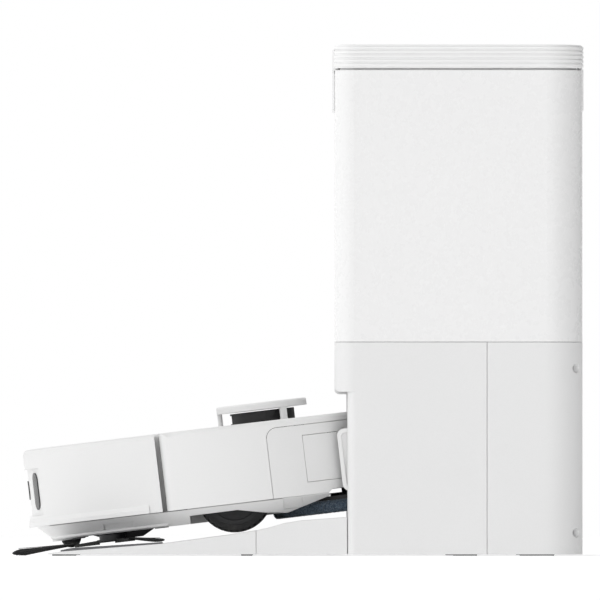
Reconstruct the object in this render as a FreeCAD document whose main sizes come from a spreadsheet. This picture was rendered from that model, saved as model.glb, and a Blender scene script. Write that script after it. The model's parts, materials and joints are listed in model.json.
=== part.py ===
"""Robot vacuum parked on the ramp of its self-emptying, mop-washing dock, as a parametric FreeCAD document.

Millimetres. +Z is up, +X runs from the robot's nose towards the dock, and -Y is the robot's left side.
The origin is on the floor, in the middle of the dock's tower. Robot pieces are drawn level, in the
robot's own frame (origin on its ground plane, under its centre), and are placed by one common
placement that lifts and tilts them onto the ramp.
"""
import FreeCAD
import Part
import Sketcher
import math
import os
import re
from FreeCAD import Placement, Rotation, Vector

SIZES = (
    # the dock's tower
    ("tower_depth", 207, "front face to rear face"),
    ("side_wall", 13, "double side wall beside the cavity"),
    ("mouth_inset", 8, "cavity half width is this much under the robot's radius"),
    ("corner_front", 16, "plan radius of the tower's front corners"),
    ("corner_rear", 30, "plan radius of the tower's rear corners"),
    ("dock_wall", 3, "wall of the dock's mouldings"),
    ("foot_height", 1, "rubber feet under the dock"),
    ("lower_top", 178.3, "height of the lower housing's top"),
    ("seam", 0.3, "shadow gap between two housings"),
    ("upper_top", 405.7, "height of the upper housing's rim"),
    ("lid_base", 407.4, "underside of the lid"),
    ("lid_top", 427, "top of the lid"),
    ("rib_depth", 0.9, "how far the lid's ribs stand out"),
    ("rib_pitch", 3.6, "spacing of the lid's ribs"),
    ("tab_drop", 33, "how far the pull tabs hang below the lid"),
    ("tab_half", 60, "half width of a pull tab"),
    ("mouth_over", 50.8, "cavity's ceiling above the height of a standing robot"),
    ("mouth_setback", 10.3, "side walls' front edge behind the tower's face"),
    ("mouth_round", 4, "rounding of the header's lower edge"),
    ("post_round", 7, "plan radius of the side walls' front edges"),
    ("cavity_depth", 99.5, "tower's face to the cavity's back wall"),
    ("cover_seam", 23.3, "where the rear cover starts"),
    ("cover_screw_high", 156.5, "height of the upper cover screws"),
    ("cover_screw_low", 19, "height of the lower cover screws"),
    ("grille_low", 191, "underside of the exhaust grille"),
    ("grille_high", 268.6, "top of the exhaust grille"),
    ("grille_half", 60, "half width of the exhaust grille"),
    ("slot_pitch", 3.6, "spacing of the grille's slots"),
    ("slat_proud", 0.7, "how far the grille's slats stand out"),
    ("bay_half", 58, "half width of the middle bay, between the water tanks"),
    ("tank_gap", 3, "clearance round a water tank"),
    ("tank_top", 394, "rim of the water tanks"),
    # where the robot is parked
    ("park_tilt", 6.7, "nose-down angle of the parked robot, in degrees"),
    ("park_height", 23.2, "height of the robot's ground plane under its centre"),
    ("park_gap", 5.6, "parked robot to the cavity's back wall"),
    # the robot's shell
    ("robot_radius", 175, "radius of the round body"),
    ("deck_top", 86.1, "height of the top deck"),
    ("shell_base", 20.7, "lower edge of the side shell"),
    ("belly", 8, "underside of the chassis"),
    ("shell_wall", 2.5, "wall of the robot's mouldings"),
    ("deck_wall", 3.1, "thickness of the top deck"),
    ("edge_round", 4, "rounding of the deck's rim"),
    ("bumper_depth", 12, "radial depth of the bumper"),
    ("bumper_gap", 3.6, "clearance that the bumper travels in"),
    ("edge_corner", 10, "rounding of the side walls' upright front edges"),
    ("bumper_end", 62, "bumper's rear edge ahead of the robot's centre"),
    ("lip_low", 24.2, "top of the bumper's lower lip"),
    ("lip_high", 27.8, "where the bumper starts to flare to its lip"),
    ("lip_reach", 1.5, "how far the lower lip stands out"),
    ("bay_depth", 2.2, "depth of the sensor bay in the bumper"),
    ("bay_top", 69.5, "top of the sensor bay"),
    ("rear_seam", 31, "rear housing's front edge behind the robot's centre"),
    ("rear_top", 79.8, "rear housing's upper seam"),
    ("seam_round", 9, "corner rounding of the rear housing's seam"),
    # the robot's deck
    ("turret_x", 29.8, "turret's axis behind the robot's centre"),
    ("turret_radius", 38.2, "radius of the turret's cap"),
    ("turret_rise", 16.9, "turret's cap above the deck"),
    ("cap_thick", 6.1, "thickness of the turret's cap"),
    ("drum_radius", 27.2, "radius of the spinning sensor drum"),
    ("lid_front", 128, "dustbin opening's front edge ahead of the centre"),
    ("lid_rear", 46, "dustbin opening's rear edge ahead of the centre"),
    ("lid_half", 78, "half width of the dustbin opening"),
    ("lid_gap", 0.4, "gap round the dustbin lid"),
    ("button_radius", 7, "radius of a button"),
    # running gear
    ("wheel_radius", 31.4, "radius of a drive wheel over its tyre"),
    ("wheel_x", -1, "drive axle's place, from the centre"),
    ("wheel_z", 27.8, "drive axle's height"),
    ("wheel_y", 120, "middle of a drive wheel, from the centre line"),
    ("wheel_width", 22, "width of a tyre"),
    ("rim_radius", 25, "radius of the wheel's rim"),
    ("pivot_x", 28, "suspension pivot behind the centre"),
    ("pivot_z", 50, "suspension pivot's height"),
    ("pivot_pin", 3, "radius of the suspension's pivot pin"),
    ("running_gap", 0.1, "radial clearance of a pin or shaft in its hole"),
    ("caster_inset", 30.5, "caster's swivel axis behind the robot's front"),
    ("caster_radius", 8.5, "radius of the caster's wheel"),
    # brushes
    ("roller_x", -94.5, "main brush axis"),
    ("roller_z", 23, "main brush axis height"),
    ("roller_radius", 20, "main brush radius over its fins"),
    ("guard_base", 2.6, "underside of the main brush's guard"),
    ("roller_half", 74, "half length of the main brush"),
    ("side_x", -107, "side brush axis"),
    ("side_y", -97, "side brush axis, on the left"),
    ("arm_reach", 86, "length of a side brush arm, from its axis"),
    # mops
    ("mop_inset", 80, "mop axes ahead of the robot's rear edge"),
    ("mop_y", 68, "mop axis from the centre line"),
    ("mop_radius", 65, "radius of a mop pad"),
    ("mop_base", 3.5, "underside of a raised mop pad"),
    ("mop_thick", 11, "thickness of a mop pad"),
    ("mop_drop", 6, "how far the mops lower onto the washboard"),
    ("mop_roof", 27, "roof of the mop recess"),
    ("mop_room", 3, "clearance round a mop pad"),
)

# Sizes that follow from the ones above: name and formula.
FITS = (
    ("front", "-tower_depth / 2"),
    ("rear", "tower_depth / 2"),
    ("mouth_top", "deck_top + mouth_over"),
    ("cavity_half", "robot_radius - mouth_inset"),
    ("tower_half", "robot_radius - mouth_inset + side_wall"),
    ("mouth_front", "mouth_setback - tower_depth / 2"),
    ("cavity_back", "cavity_depth - tower_depth / 2"),
    ("robot_x", "cavity_depth - tower_depth / 2 - park_gap - robot_radius * cos(park_tilt)"),
    ("tray_front", "robot_x + mop_x - 80.9"),
    ("deck_under", "deck_top - deck_wall"),
    ("turret_top", "deck_top + turret_rise"),
    ("caster_x", "caster_inset - robot_radius"),
    ("mop_x", "robot_radius - mop_inset"),
    ("wash_half", "robot_radius - mouth_inset - 17"),
    ("nose_radius", "robot_radius - bumper_depth - bumper_gap"),
    ("body_front", "bumper_gap - bumper_end"),
    ("belly_radius", "robot_radius - 19"),
    ("skirt_radius", "robot_radius - 5"),
    ("skirt_top", "shell_base - 0.5"),
    ("mop_top", "mop_base + mop_thick"),
    ("mop_hole", "mop_radius + mop_room"),
    ("board_level", "mop_base - mop_drop - 0.4"),
    ("wheel_in", "wheel_y - wheel_width / 2"),
    ("wheel_out", "wheel_y + wheel_width / 2"),
)

ORIGIN_PLANES = {"xy": "XY_Plane", "xz": "XZ_Plane", "yz": "YZ_Plane"}
NAME = re.compile(r"[a-z_]{2,}[a-z_0-9]*")
TOOLS = []
WIDE = ("-300", "300")
TALL = ("0", "200")

doc = FreeCAD.newDocument("RobotVacuum")
sheet = doc.addObject("Spreadsheet::Sheet", "Sizes")
fit = doc.addObject("App::VarSet", "Fit")
parts = {}


def formula(text):
    """A FreeCAD expression in which each size's name points at the sheet or at the fits."""
    text = str(text)

    def point(match):
        word = match.group(0)
        if word in SIZE_NAMES:
            return "Sizes." + word
        if word in FIT_NAMES:
            return "Fit." + word
        return word

    return NAME.sub(point, text)


SIZE_NAMES = {row[0] for row in SIZES}
FIT_NAMES = {row[0] for row in FITS}


def fill_sheet():
    """Writes the driving sizes into the sheet and the sizes that follow into the fits."""
    for line, (name, value, note) in enumerate(SIZES, 1):
        sheet.set(f"A{line}", name)
        sheet.set(f"B{line}", str(value))
        sheet.set(f"C{line}", note)
        sheet.setAlias(f"B{line}", name)
    doc.recompute()
    for name, rule in FITS:
        fit.addProperty("App::PropertyFloat", name)
        fit.setExpression(name, formula(rule))
    doc.recompute()


def size(name):
    """The number behind a size's name."""
    return float(getattr(sheet if name in SIZE_NAMES else fit, name))


def bind(obj, **rules):
    """Binds properties of obj to formulas."""
    for prop, rule in rules.items():
        obj.setExpression(prop.replace("__", "."), formula(rule))


def tool(kind, **rules):
    """A shape that other shapes are cut or joined with."""
    obj = doc.addObject(kind, f"Shape{len(TOOLS):03d}")
    TOOLS.append(obj)
    bind(obj, **rules)
    return obj


def move(obj, x=0, y=0, z=0):
    bind(obj, Placement__Base__x=x, Placement__Base__y=y, Placement__Base__z=z)
    return obj


def box(x, y, z):
    """A box between two corners, each side a pair of formulas."""
    sides = [f"({high}) - ({low})" for low, high in (x, y, z)]
    obj = tool("Part::Box", Length=sides[0], Width=sides[1], Height=sides[2])
    return move(obj, x[0], y[0], z[0])


def rod(radius, x, y, z, axis="z"):
    """A cylinder along one axis: that axis's entry is a pair of formulas, the other two are its place."""
    place = {"x": x, "y": y, "z": z}
    low, high = place[axis]
    obj = tool("Part::Cylinder", Radius=radius, Height=f"({high}) - ({low})")
    turn = {"x": Rotation(Vector(0, 1, 0), 90), "y": Rotation(Vector(1, 0, 0), -90), "z": Rotation()}
    obj.Placement = Placement(Vector(), turn[axis])
    place[axis] = low
    return move(obj, place["x"], place["y"], place["z"])


def cone(low_radius, high_radius, x, y, z):
    obj = tool("Part::Cone", Radius1=low_radius, Radius2=high_radius, Height=f"({z[1]}) - ({z[0]})")
    return move(obj, x, y, z[0])


def both(x, y, z):
    """Two boxes mirrored across the centre plane, as one tool."""
    low, high = y
    return join(box(x, y, z), box(x, (f"-({high})", f"-({low})"), z))


def cut(base, *tools):
    obj = doc.addObject("Part::Cut", f"Shape{len(TOOLS):03d}")
    TOOLS.append(obj)
    obj.Base = base
    obj.Tool = tools[0] if len(tools) == 1 else join(*tools)
    return obj


def join(*shapes):
    if len(shapes) == 1:
        return shapes[0]
    obj = doc.addObject("Part::MultiFuse", f"Shape{len(TOOLS):03d}")
    TOOLS.append(obj)
    obj.Shapes = list(shapes)
    return obj


def common(*shapes):
    obj = doc.addObject("Part::MultiCommon", f"Shape{len(TOOLS):03d}")
    TOOLS.append(obj)
    obj.Shapes = list(shapes)
    return obj


def at(edge, **place):
    """Whether the middle of an edge's box lies at the given place."""
    centre = edge.BoundBox.Center
    return all(abs(getattr(centre, axis) - value) < 0.01 for axis, value in place.items())


class Body:
    """A PartDesign body whose sketches take their sizes from formulas."""

    def __init__(self, name):
        self.body = doc.addObject("PartDesign::Body", name)
        self.planes = {f.Role: f for f in self.body.Origin.OriginFeatures}

    def sketch(self, plane="xy", level="0"):
        made = self.body.newObject("Sketcher::SketchObject", "Sketch")
        made.AttachmentSupport = [(self.planes[ORIGIN_PLANES[plane]], "")]
        made.MapMode = "FlatFace"
        bind(made, AttachmentOffset__Base__z=level)
        return made

    def hold(self, sketch, kind, geometry, point, rule):
        """Ties one coordinate of a sketch's point to a formula, starting from where it is."""
        here = sketch.getPoint(geometry, point)
        start = here.x if kind == "DistanceX" else here.y
        index = sketch.addConstraint(Sketcher.Constraint(kind, -1, 1, geometry, point, start))
        sketch.setExpression(f"Constraints[{index}]", formula(rule))

    def polygon(self, plane, points, level="0"):
        """A closed sketch of straight lines through points given as pairs of formulas."""
        made = self.sketch(plane, level)
        places = [Vector(number(x), number(y), 0) for x, y in points]
        count = len(points)
        for i in range(count):
            made.addGeometry(Part.LineSegment(places[i], places[(i + 1) % count]), False)
        for i in range(count):
            made.addConstraint(Sketcher.Constraint("Coincident", i, 2, (i + 1) % count, 1))
        for i, (x, y) in enumerate(points):
            self.hold(made, "DistanceX", i, 1, x)
            self.hold(made, "DistanceY", i, 1, y)
        return made

    def outline(self, x, y, near, far, level="0"):
        """A rectangle with rounded corners: near is the radius at the low x end, far at the high x end."""
        made = self.sketch("xy", level)
        x0, x1 = number(x[0]), number(x[1])
        y0, y1 = number(y[0]), number(y[1])
        a, b = number(near), number(far)
        corners = ((x0 + a, y0 + a, a, 180), (x1 - b, y0 + b, b, 270), (x1 - b, y1 - b, b, 0),
                   (x0 + a, y1 - a, a, 90))
        ends = []
        for cx, cy, radius, start in corners:
            circle = Part.Circle(Vector(cx, cy, 0), Vector(0, 0, 1), radius)
            first, last = math.radians(start), math.radians(start + 90)
            made.addGeometry(Part.ArcOfCircle(circle, first, last), False)
            ends.append([Vector(cx + radius * math.cos(turn), cy + radius * math.sin(turn), 0)
                         for turn in (first, last)])
        for i in range(4):
            made.addGeometry(Part.LineSegment(ends[i][1], ends[(i + 1) % 4][0]), False)
        for i in range(4):
            made.addConstraint(Sketcher.Constraint("Tangent", i, 2, 4 + i, 1))
            made.addConstraint(Sketcher.Constraint("Tangent", 4 + i, 2, (i + 1) % 4, 1))
            made.addConstraint(Sketcher.Constraint("Horizontal" if i % 2 == 0 else "Vertical", 4 + i))
        sides = (("DistanceY", 4, y[0]), ("DistanceX", 5, x[1]), ("DistanceY", 6, y[1]), ("DistanceX", 7, x[0]))
        for kind, line, rule in sides:
            self.hold(made, kind, line, 1, rule)
        for arc, rule in ((0, near), (1, far), (2, far), (3, near)):
            index = made.addConstraint(Sketcher.Constraint("Radius", arc, number(rule)))
            made.setExpression(f"Constraints[{index}]", formula(rule))
        return made

    def circle(self, radius, x="0", y="0", level="0", plane="xy"):
        made = self.sketch(plane, level)
        made.addGeometry(Part.Circle(Vector(number(x), number(y), 0), Vector(0, 0, 1), number(radius)),
                         False)
        self.hold(made, "DistanceX", 0, 3, x)
        self.hold(made, "DistanceY", 0, 3, y)
        index = made.addConstraint(Sketcher.Constraint("Radius", 0, number(radius)))
        made.setExpression(f"Constraints[{index}]", formula(radius))
        return made

    def feature(self, kind, profile, **rules):
        made = self.body.newObject("PartDesign::" + kind, kind)
        made.Profile = profile
        bind(made, **rules)
        profile.Visibility = False
        return made

    def pad(self, profile, length, middle=False):
        made = self.feature("Pad", profile, Length=length)
        made.SideType = "Symmetric" if middle else "One side"
        return made

    def pocket(self, profile, length, up=False, middle=False):
        """Cuts down from the sketch, or up from it."""
        before = self.volume()
        made = self.feature("Pocket", profile, Length=length)
        made.SideType = "Symmetric" if middle else "One side"
        made.Reversed = up
        doc.recompute()
        if self.volume() > before - 1e-3:
            raise RuntimeError(f"{self.body.Label}: a pocket cuts nothing")
        return made

    def revolve(self, profile, angle="360", cutting=False):
        made = self.feature("Groove" if cutting else "Revolution", profile, Angle=angle)
        made.ReferenceAxis = (profile, ["V_Axis"])
        made.Midplane = True
        return made

    def around(self, feature, count, axis="Z_Axis"):
        """Repeats a feature around one of the body's axes."""
        made = self.body.newObject("PartDesign::PolarPattern", "PolarPattern")
        made.Originals = [feature]
        made.Axis = (self.planes[axis], [""])
        made.Angle = 360
        made.Occurrences = count
        self.body.Tip = made
        return made

    def fillet(self, radius, wanted):
        """Rounds the edges of the body's tip that wanted picks."""
        doc.recompute()
        tip = self.body.Tip
        edges = [f"Edge{i}" for i, e in enumerate(tip.Shape.Edges, 1) if wanted(e)]
        made = self.body.newObject("PartDesign::Fillet", "Fillet")
        made.Base = (tip, edges)
        bind(made, Radius=radius)
        return made

    def volume(self):
        doc.recompute()
        return self.body.Shape.Volume


def number(rule):
    """The value of a formula, worked out by the document's own expression engine."""
    fit.setExpression("answer", formula(rule))
    fit.recompute()
    return fit.answer


def prism(x, y, near, far, z, name="Prism"):
    """An upright block with rounded corners."""
    made = Body(name)
    made.pad(made.outline(x, y, near, far, level=z[0]), f"({z[1]}) - ({z[0]})")
    return made.body


def tower(inset, z, name="Prism"):
    """A block with the tower's outline, drawn in by an inset."""
    side = f"tower_half - ({inset})"
    x = (f"front + ({inset})", f"rear - ({inset})")
    return prism(x, (f"-({side})", side), f"corner_front - ({inset})", f"corner_rear - ({inset})", z, name)


def keep(name, shape, on_robot=False):
    """Makes a shape one of the object's pieces. Robot pieces are carried onto the ramp."""
    shape.Label = name
    parts[name] = shape
    if on_robot:
        carry(shape)
    return shape


def carry(shape):
    """Places a piece drawn in the robot's own frame where the parked robot has it."""
    turn = "create(<<rotation>>; create(<<vector>>; 0; 1; 0); -{t})"
    place = "create(<<placement>>; create(<<vector>>; {x}; 0; {z}); " + turn + ")"
    shape.setExpression("Placement",
                        place.format(x="Fit.robot_x", z="Sizes.park_height", t="Sizes.park_tilt"))
    return shape


def side(low, high, sign):
    """A pair of formulas for a stretch of Y, on the right (1) or mirrored onto the left (-1)."""
    return (low, high) if sign > 0 else (f"-({high})", f"-({low})")


def off(y, sign):
    return y if sign > 0 else f"-({y})"


def ring(outer, inner, z):
    return cut(rod(outer, "0", "0", z), rod(inner, "0", "0", z))


def swept(name, points, angle, start="-"):
    """A revolution about Z of a profile on the nose side, through half the angle to each side."""
    made = Body(name)
    made.revolve(made.polygon("xz", [(f"-({r})", z) for r, z in points]), angle)
    return made


def extruded(name, points, half):
    """A side profile in X and Z, extruded to both sides of the centre plane."""
    made = Body(name)
    made.pad(made.polygon("xz", points), f"2 * ({half})", middle=True)
    return made.body


def chassis():
    """The robot's base: belly pan, nose bulkhead, wheel wells, brush chamber and bearings."""
    pan = cone("belly_radius", "skirt_radius", "0", "0", ("belly", "skirt_top"))
    inside = cone("belly_radius - 2.5", "skirt_radius - 2.5", "0", "0", ("belly + 2.5", "skirt_top + 0.01"))
    nose = join(ring("nose_radius", "nose_radius - 3", ("belly + 1", "deck_under")),
                ring("nose_radius", "nose_radius - 8", ("belly + 1", "belly + 2.5")))
    nose = cut(nose, box(("body_front - 0.2", "200"), WIDE, TALL))
    wells = both(("wheel_x - 40.5", "wheel_x + 39.5"), ("wheel_in - 2.6", "wheel_out + 5"),
                 ("belly", "71.5"))
    chamber = box(("roller_x - 24", "roller_x + 24"), ("-roller_half - 9.5", "roller_half + 9.5"),
                  ("belly", "48"))
    boss = rod("14", "caster_x", "0", ("6.7", "34"))
    brackets = both(("pivot_x - 6", "pivot_x + 6"), ("94", "97.5"), ("belly + 1", "pivot_z + 6"))
    pins = [rod("pivot_pin", "pivot_x", side("95", "wheel_in - 1", s), "pivot_z", "y") for s in (1, -1)]
    pillar = rod("6", "-18", "72", ("belly + 1", "50"))
    motor_seat = rod("12", "side_x", "side_y", ("belly", "14"))
    bosses = [rod("4", x, y, ("belly + 1", "18")) for x, y in SCREWS]
    solid = join(cut(pan, inside), nose, wells, chamber, boss, brackets, pillar, motor_seat, *bosses)
    well_rooms = both(("wheel_x - 38", "wheel_x + 37"), ("wheel_in - 0.7", "wheel_out + 3"), ("0", "69"))
    arches = extruded("WheelArches",
                      (("wheel_x - 39", "0"), ("wheel_x + 39", "0"), ("wheel_x + 39", "belly + 0.5"),
                                      ("wheel_x + 24", "belly + 2.2"), ("wheel_x + 1", "belly + 7.1"),
                                      ("wheel_x - 39", "belly + 6.8")), "200")
    arches = cut(arches, box(("wheel_x - 50", "wheel_x + 50"), ("-wheel_in", "wheel_in"), ("-1", "50")))
    slots = both(("wheel_x - 19", "wheel_x + 17"), ("wheel_in - 4", "wheel_in + 1"),
                 ("wheel_z - 16", "wheel_z + 24"))
    room = box(("roller_x - 21.5", "roller_x + 21.5"), ("-roller_half - 7", "roller_half + 7"),
               ("0", "45.5"))
    duct = box(("roller_x - 14", "roller_x + 14"), ("-30", "30"), ("45", "50"))
    bearings = rod("3 + running_gap", "roller_x", ("-roller_half - 12", "roller_half + 12"), "roller_z",
                   "y")
    swivel = join(rod("12", "caster_x", "0", ("0", "22.5")),
                  rod("3 + running_gap", "caster_x", "0", ("22", "35")))
    spindle = rod("3 + running_gap", "side_x", "side_y", ("0", "30"))
    holes = [rod("1.5", x, y, ("0", "16")) for x, y in SCREWS]
    sinks = [rod("3.3", x, y, ("0", "belly + 1.4")) for x, y in SCREWS]
    tail = extruded("TailSlope", (("36", "0"), ("90", "0"), ("200", "0"), ("200", "60"), ("79", "60"),
                                  ("79", "18.3"), ("36", "6.3")), "200")
    recess = [rod("mop_hole", "mop_x", off("mop_y", s), ("0", "mop_roof + 1")) for s in (1, -1)]
    hollows = join(both(("-113", "-88"), ("100", "200"), ("belly + 3", "belly + 8")),
                   both(("wheel_x + 40", "wheel_x + 56"), ("100", "200"), ("belly + 3", "belly + 12")))
    hollows = cut(hollows, cone("belly_radius - 1.3", "skirt_radius - 1.3", "0", "0",
                                ("belly", "skirt_top")))
    keep("chassis", join(cut(solid, well_rooms, arches, slots, room, duct, bearings, swivel, spindle, tail,
                             hollows, *holes, *sinks, *recess), *pins), True)


SCREWS = (("-70", "100"), ("-70", "-100"), ("-48", "75"), ("-48", "-75"), ("24", "70"), ("24", "-70"))


def top_shell():
    """Deck and side walls in one moulding, open at the front for the bumper."""
    disc = Body("DeckDisc")
    disc.pad(disc.circle("robot_radius", level="shell_base"), "deck_top - shell_base")
    disc.fillet("edge_round", lambda e: at(e, z=size("deck_top")))
    nose = Body("DeckNose")
    nose.pad(nose.circle("nose_radius", level="deck_under"), "deck_wall")
    nose.fillet("edge_round / 2", lambda e: at(e, z=size("deck_top")))
    body = cut(disc.body, box(("-200", "body_front"), WIDE, TALL))
    hollow = cut(rod("robot_radius - shell_wall", "0", "0", ("0", "deck_under")),
                 both(("-200", "body_front + shell_wall"), ("nose_radius - 11", "200"), TALL),
                 wall_corner("shell_wall"))
    rear = join(box(("rear_seam", "200"), WIDE, ("0", "rear_top - seam_round")),
                box(("rear_seam + seam_round", "200"), WIDE, ("0", "rear_top")),
                rod("seam_round", "rear_seam + seam_round", WIDE, "rear_top - seam_round", "y"))
    opening = prism(("-lid_front", "-lid_rear"), ("-lid_half", "lid_half"), "10", "0.6",
                    ("deck_under - 1", "deck_top + 1"))
    well = rod("drum_radius + 2", "turret_x", "0", ("deck_under - 1", "deck_top + 1"))
    presses = [rod("button_radius + 0.4", BUTTON_X, off(BUTTON_Y, s), ("deck_under - 1", "deck_top + 1"))
               for s in (1, -1)]
    hangers = [rod("3", x, y, ("60", "deck_under + 0.5")) for x, y in BOARD_POSTS]
    shell = join(cut(join(body, nose.body), hollow, wall_corner("0"), rear, opening, well, *presses),
                 *hangers)
    pins = [rod("0.8", HINGE_X, side("lid_half - 2.5", "lid_half + 1", s), HINGE_Z, "y") for s in (1, -1)]
    keep("top_shell", join(shell, *pins), True)


def wall_corner(inset):
    """What lies outside the rounding where the side walls turn in behind the bumper, at an inset."""
    x, y = "(body_front + edge_corner)", "sqrt((robot_radius - edge_corner)^2 - (body_front + edge_corner)^2)"
    corner = both((f"body_front + {inset} - 1",
                   f"{x} * (robot_radius - {inset}) / (robot_radius - edge_corner)"),
                  (y, "robot_radius + 1"), ("-1", "deck_top + 1"))
    rounds = [rod(f"edge_corner - {inset}", x, off(y, s), ("-2", "deck_top + 2")) for s in (1, -1)]
    return cut(corner, *rounds)


BUTTON_X, BUTTON_Y = "-27", "13"
HINGE_X, HINGE_Z = "-lid_rear - 2", "deck_top - deck_wall / 2"
BOARD_POSTS = (("-36", "-96"), ("-36", "-46"), ("52", "-96"), ("52", "-46"))
FLAP_TURN = 25.75


def port_block(half, z):
    """A block across the left wall where the dust port is, square to the wall there."""
    turn = FLAP_TURN
    block = tool("Part::Box", Length=f"2 * {half}", Width="16", Height=f"({z[1]}) - ({z[0]})")
    block.Placement = Placement(Vector(), Rotation(Vector(0, 0, 1), turn))
    return move(block, f"(robot_radius + 8) * sin({turn}) - {half} * cos({turn})",
                f"-(robot_radius + 8) * cos({turn}) - {half} * sin({turn})", z[0])


def rear_housing():
    """The tail of the side shell, with the roof of the mop recess and the guides of the mop lift."""
    shell = join(ring("robot_radius", "robot_radius - shell_wall", ("shell_base", "rear_top - 0.3")),
                 rod("robot_radius - 1", "0", "0", ("mop_roof", "mop_roof + 2.5")))
    corner = cut(box(("0", "rear_seam + seam_round"), WIDE, ("rear_top - seam_round", "200")),
                 rod("seam_round - 0.3", "rear_seam + seam_round", WIDE, "rear_top - seam_round", "y"))
    port = port_block("16.3", ("31.2", "70.8"))
    shafts = [rod("6 + running_gap", "mop_x", off("mop_y", s), ("0", "60")) for s in (1, -1)]
    contacts = both(("robot_radius - 7", "200"), ("7", "17"), ("30", "38"))
    wheel_room = both(("0", "wheel_x + 40.2"), ("93", "wheel_out + 6"), ("20", "66"))
    guides = [rod("4", "mop_x", off("30", s), ("mop_roof + 1", "68")) for s in (1, -1)]
    tail_edge = extruded("TailEdge",
                         (("78", "0"), ("200", "0"), ("200", "shell_base + 2.9"),
                          ("81", "shell_base + 2.9"),
                                      ("78", "shell_base")), "200")
    cutters = [box(("-200", "rear_seam + 0.3"), WIDE, TALL), corner, port, contacts, wheel_room, tail_edge]
    keep("rear_housing", join(cut(shell, *cutters, *shafts), *guides), True)


def dust_port_flap():
    """A curved flap in the left wall of the rear housing, hung on its upper edge."""
    skin = ring("robot_radius", "robot_radius - shell_wall", ("31.5", "70.5"))
    keep("dust_port_flap", common(skin, port_block("16", ("31.5", "70.5"))), True)


def dustbin_lid():
    """The lid over the dustbin, with a barrel hinge along its rear edge."""
    gap = "lid_gap"
    y = (f"-lid_half + {gap}", f"lid_half - {gap}")
    panel = prism((f"-lid_front + {gap}", HINGE_X), y, "9.6", "0.5", ("deck_under", "deck_top"))
    barrel = rod("deck_wall / 2", HINGE_X, y, HINGE_Z, "y")
    finger = rod("9", "-lid_front + 2", "0", ("deck_top - 1.4", "deck_top + 1"))
    keep("dustbin_lid", cut(join(panel, barrel), rod("0.8 + running_gap", HINGE_X, y, HINGE_Z, "y"),
                            finger), True)


def bumper():
    """The floating front bumper: a C-section with a flared lower lip and a bay for the sensors."""
    r, wall = "robot_radius", "shell_wall"
    flange = "robot_radius - bumper_depth"
    points = ((flange, "shell_base"), (f"{r} + lip_reach", "shell_base"), (f"{r} + lip_reach", "lip_low"),
              (r, "lip_high"), (r, "deck_top - 0.1 - edge_round"),
              (f"{r} - edge_round * 0.3", "deck_top - 0.1 - edge_round * 0.3"),
              (f"{r} - edge_round", "deck_top - 0.1"), (flange, "deck_top - 0.1"),
              (flange, "deck_top - 2.6"),
              (f"{r} - 5.5", "deck_top - 2.6"), (f"{r} - {wall} - 2.4", "deck_top - 6"),
              (f"{r} - {wall} - 2.4", "lip_high"), (flange, "shell_base + 2.5"))
    skin = swept("BumperSkin", points, "166")
    bay = swept("SensorBay", ((f"{r} - bay_depth", "30"), (f"{r} + 2", "30"), (f"{r} + 2", "bay_top"),
                              (f"{r} - bay_depth", "bay_top")), "43")
    tail = box(("-bumper_end", "200"), ("-200", "200"), TALL)
    lip_end = cut(box(("-bumper_end - 11", "0"), WIDE, ("15", "lip_high + 0.1")),
                  rod("robot_radius", "0", "0", ("10", "40")))
    keep("bumper", cut(skin.body, tail, bay.body, lip_end), True)


def sensor_windows():
    """Dark windows for the line lasers and the camera, lying on the floor of the sensor bay."""
    inner, outer = "robot_radius - bay_depth", "robot_radius - bay_depth + 0.9"
    band = swept("WindowBand", ((inner, "34.7"), (outer, "34.7"), (outer, "66"), (inner, "66")), "41")
    pills = []
    for s in (1, -1):
        y = off("(robot_radius - 2) * sin(16)", s)
        pills.append(join(rod("6.5", ("-200", "-100"), y, "41.2", "x"),
                          rod("6.5", ("-200", "-100"), y, "59.5", "x"),
                          box(("-200", "-100"), (f"{y} - 6.5", f"{y} + 6.5"), ("41.2", "59.5"))))
    eye = join(box(("-200", "-100"), ("-6", "6"), ("44", "60")),
               rod("8", ("-200", "-100"), "-6", "52", "x"),
               rod("8", ("-200", "-100"), "6", "52", "x"))
    keep("sensor_windows", common(band.body, join(eye, *pills)), True)


def turret():
    """The laser turret: a fixed cup and cap, and the drum that spins between them."""
    x = "turret_x"
    cup = cut(rod("34", x, "0", ("60", "deck_under")),
              rod("drum_radius + 2.5", x, "0", ("62.5", "deck_top")))
    keep("turret_base", join(cup, rod("4", x, "0", ("61", "78"))), True)
    drum = join(rod("drum_radius", x, "0", ("68", "turret_top - cap_thick - 1")),
                rod("8", x, "0", ("64", "69")))
    lens = box((f"{x} - drum_radius - 1", f"{x} - drum_radius + 1.2"), ("-16", "16"),
               ("deck_top + 1.5", "turret_top - cap_thick - 2.5"))
    keep("lidar_drum", cut(drum, rod("4 + running_gap", x, "0", ("60", "80")), lens), True)
    cap = Body("CapDisc")
    cap.pad(cap.circle("turret_radius", x, level="turret_top - cap_thick"), "cap_thick")
    cap.fillet("1.8", lambda e: at(e, z=size("turret_top")))
    legs = []
    top = "turret_top - cap_thick"
    for turn in (180, 60, -60):
        place = (f"{x} + (turret_radius - 2.4) * cos({turn})", f"(turret_radius - 2.4) * sin({turn})")
        legs.append(rod("3.1", *place, ("deck_top", f"{top} + 1")))
        legs.append(cone("4", "3.1", *place, ("deck_top", "deck_top + 1.5")))
        legs.append(cone("3.1", "4", *place, (f"{top} - 1.5", top)))
    tube = cut(rod("turret_radius - 0.3", x, "0", ("deck_top", f"{top} + 1")),
               rod("turret_radius - 4.3", x, "0", ("deck_top - 1", f"{top} + 2")))
    keep("turret_cap", join(cap.body, common(tube, join(*legs))), True)


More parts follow.
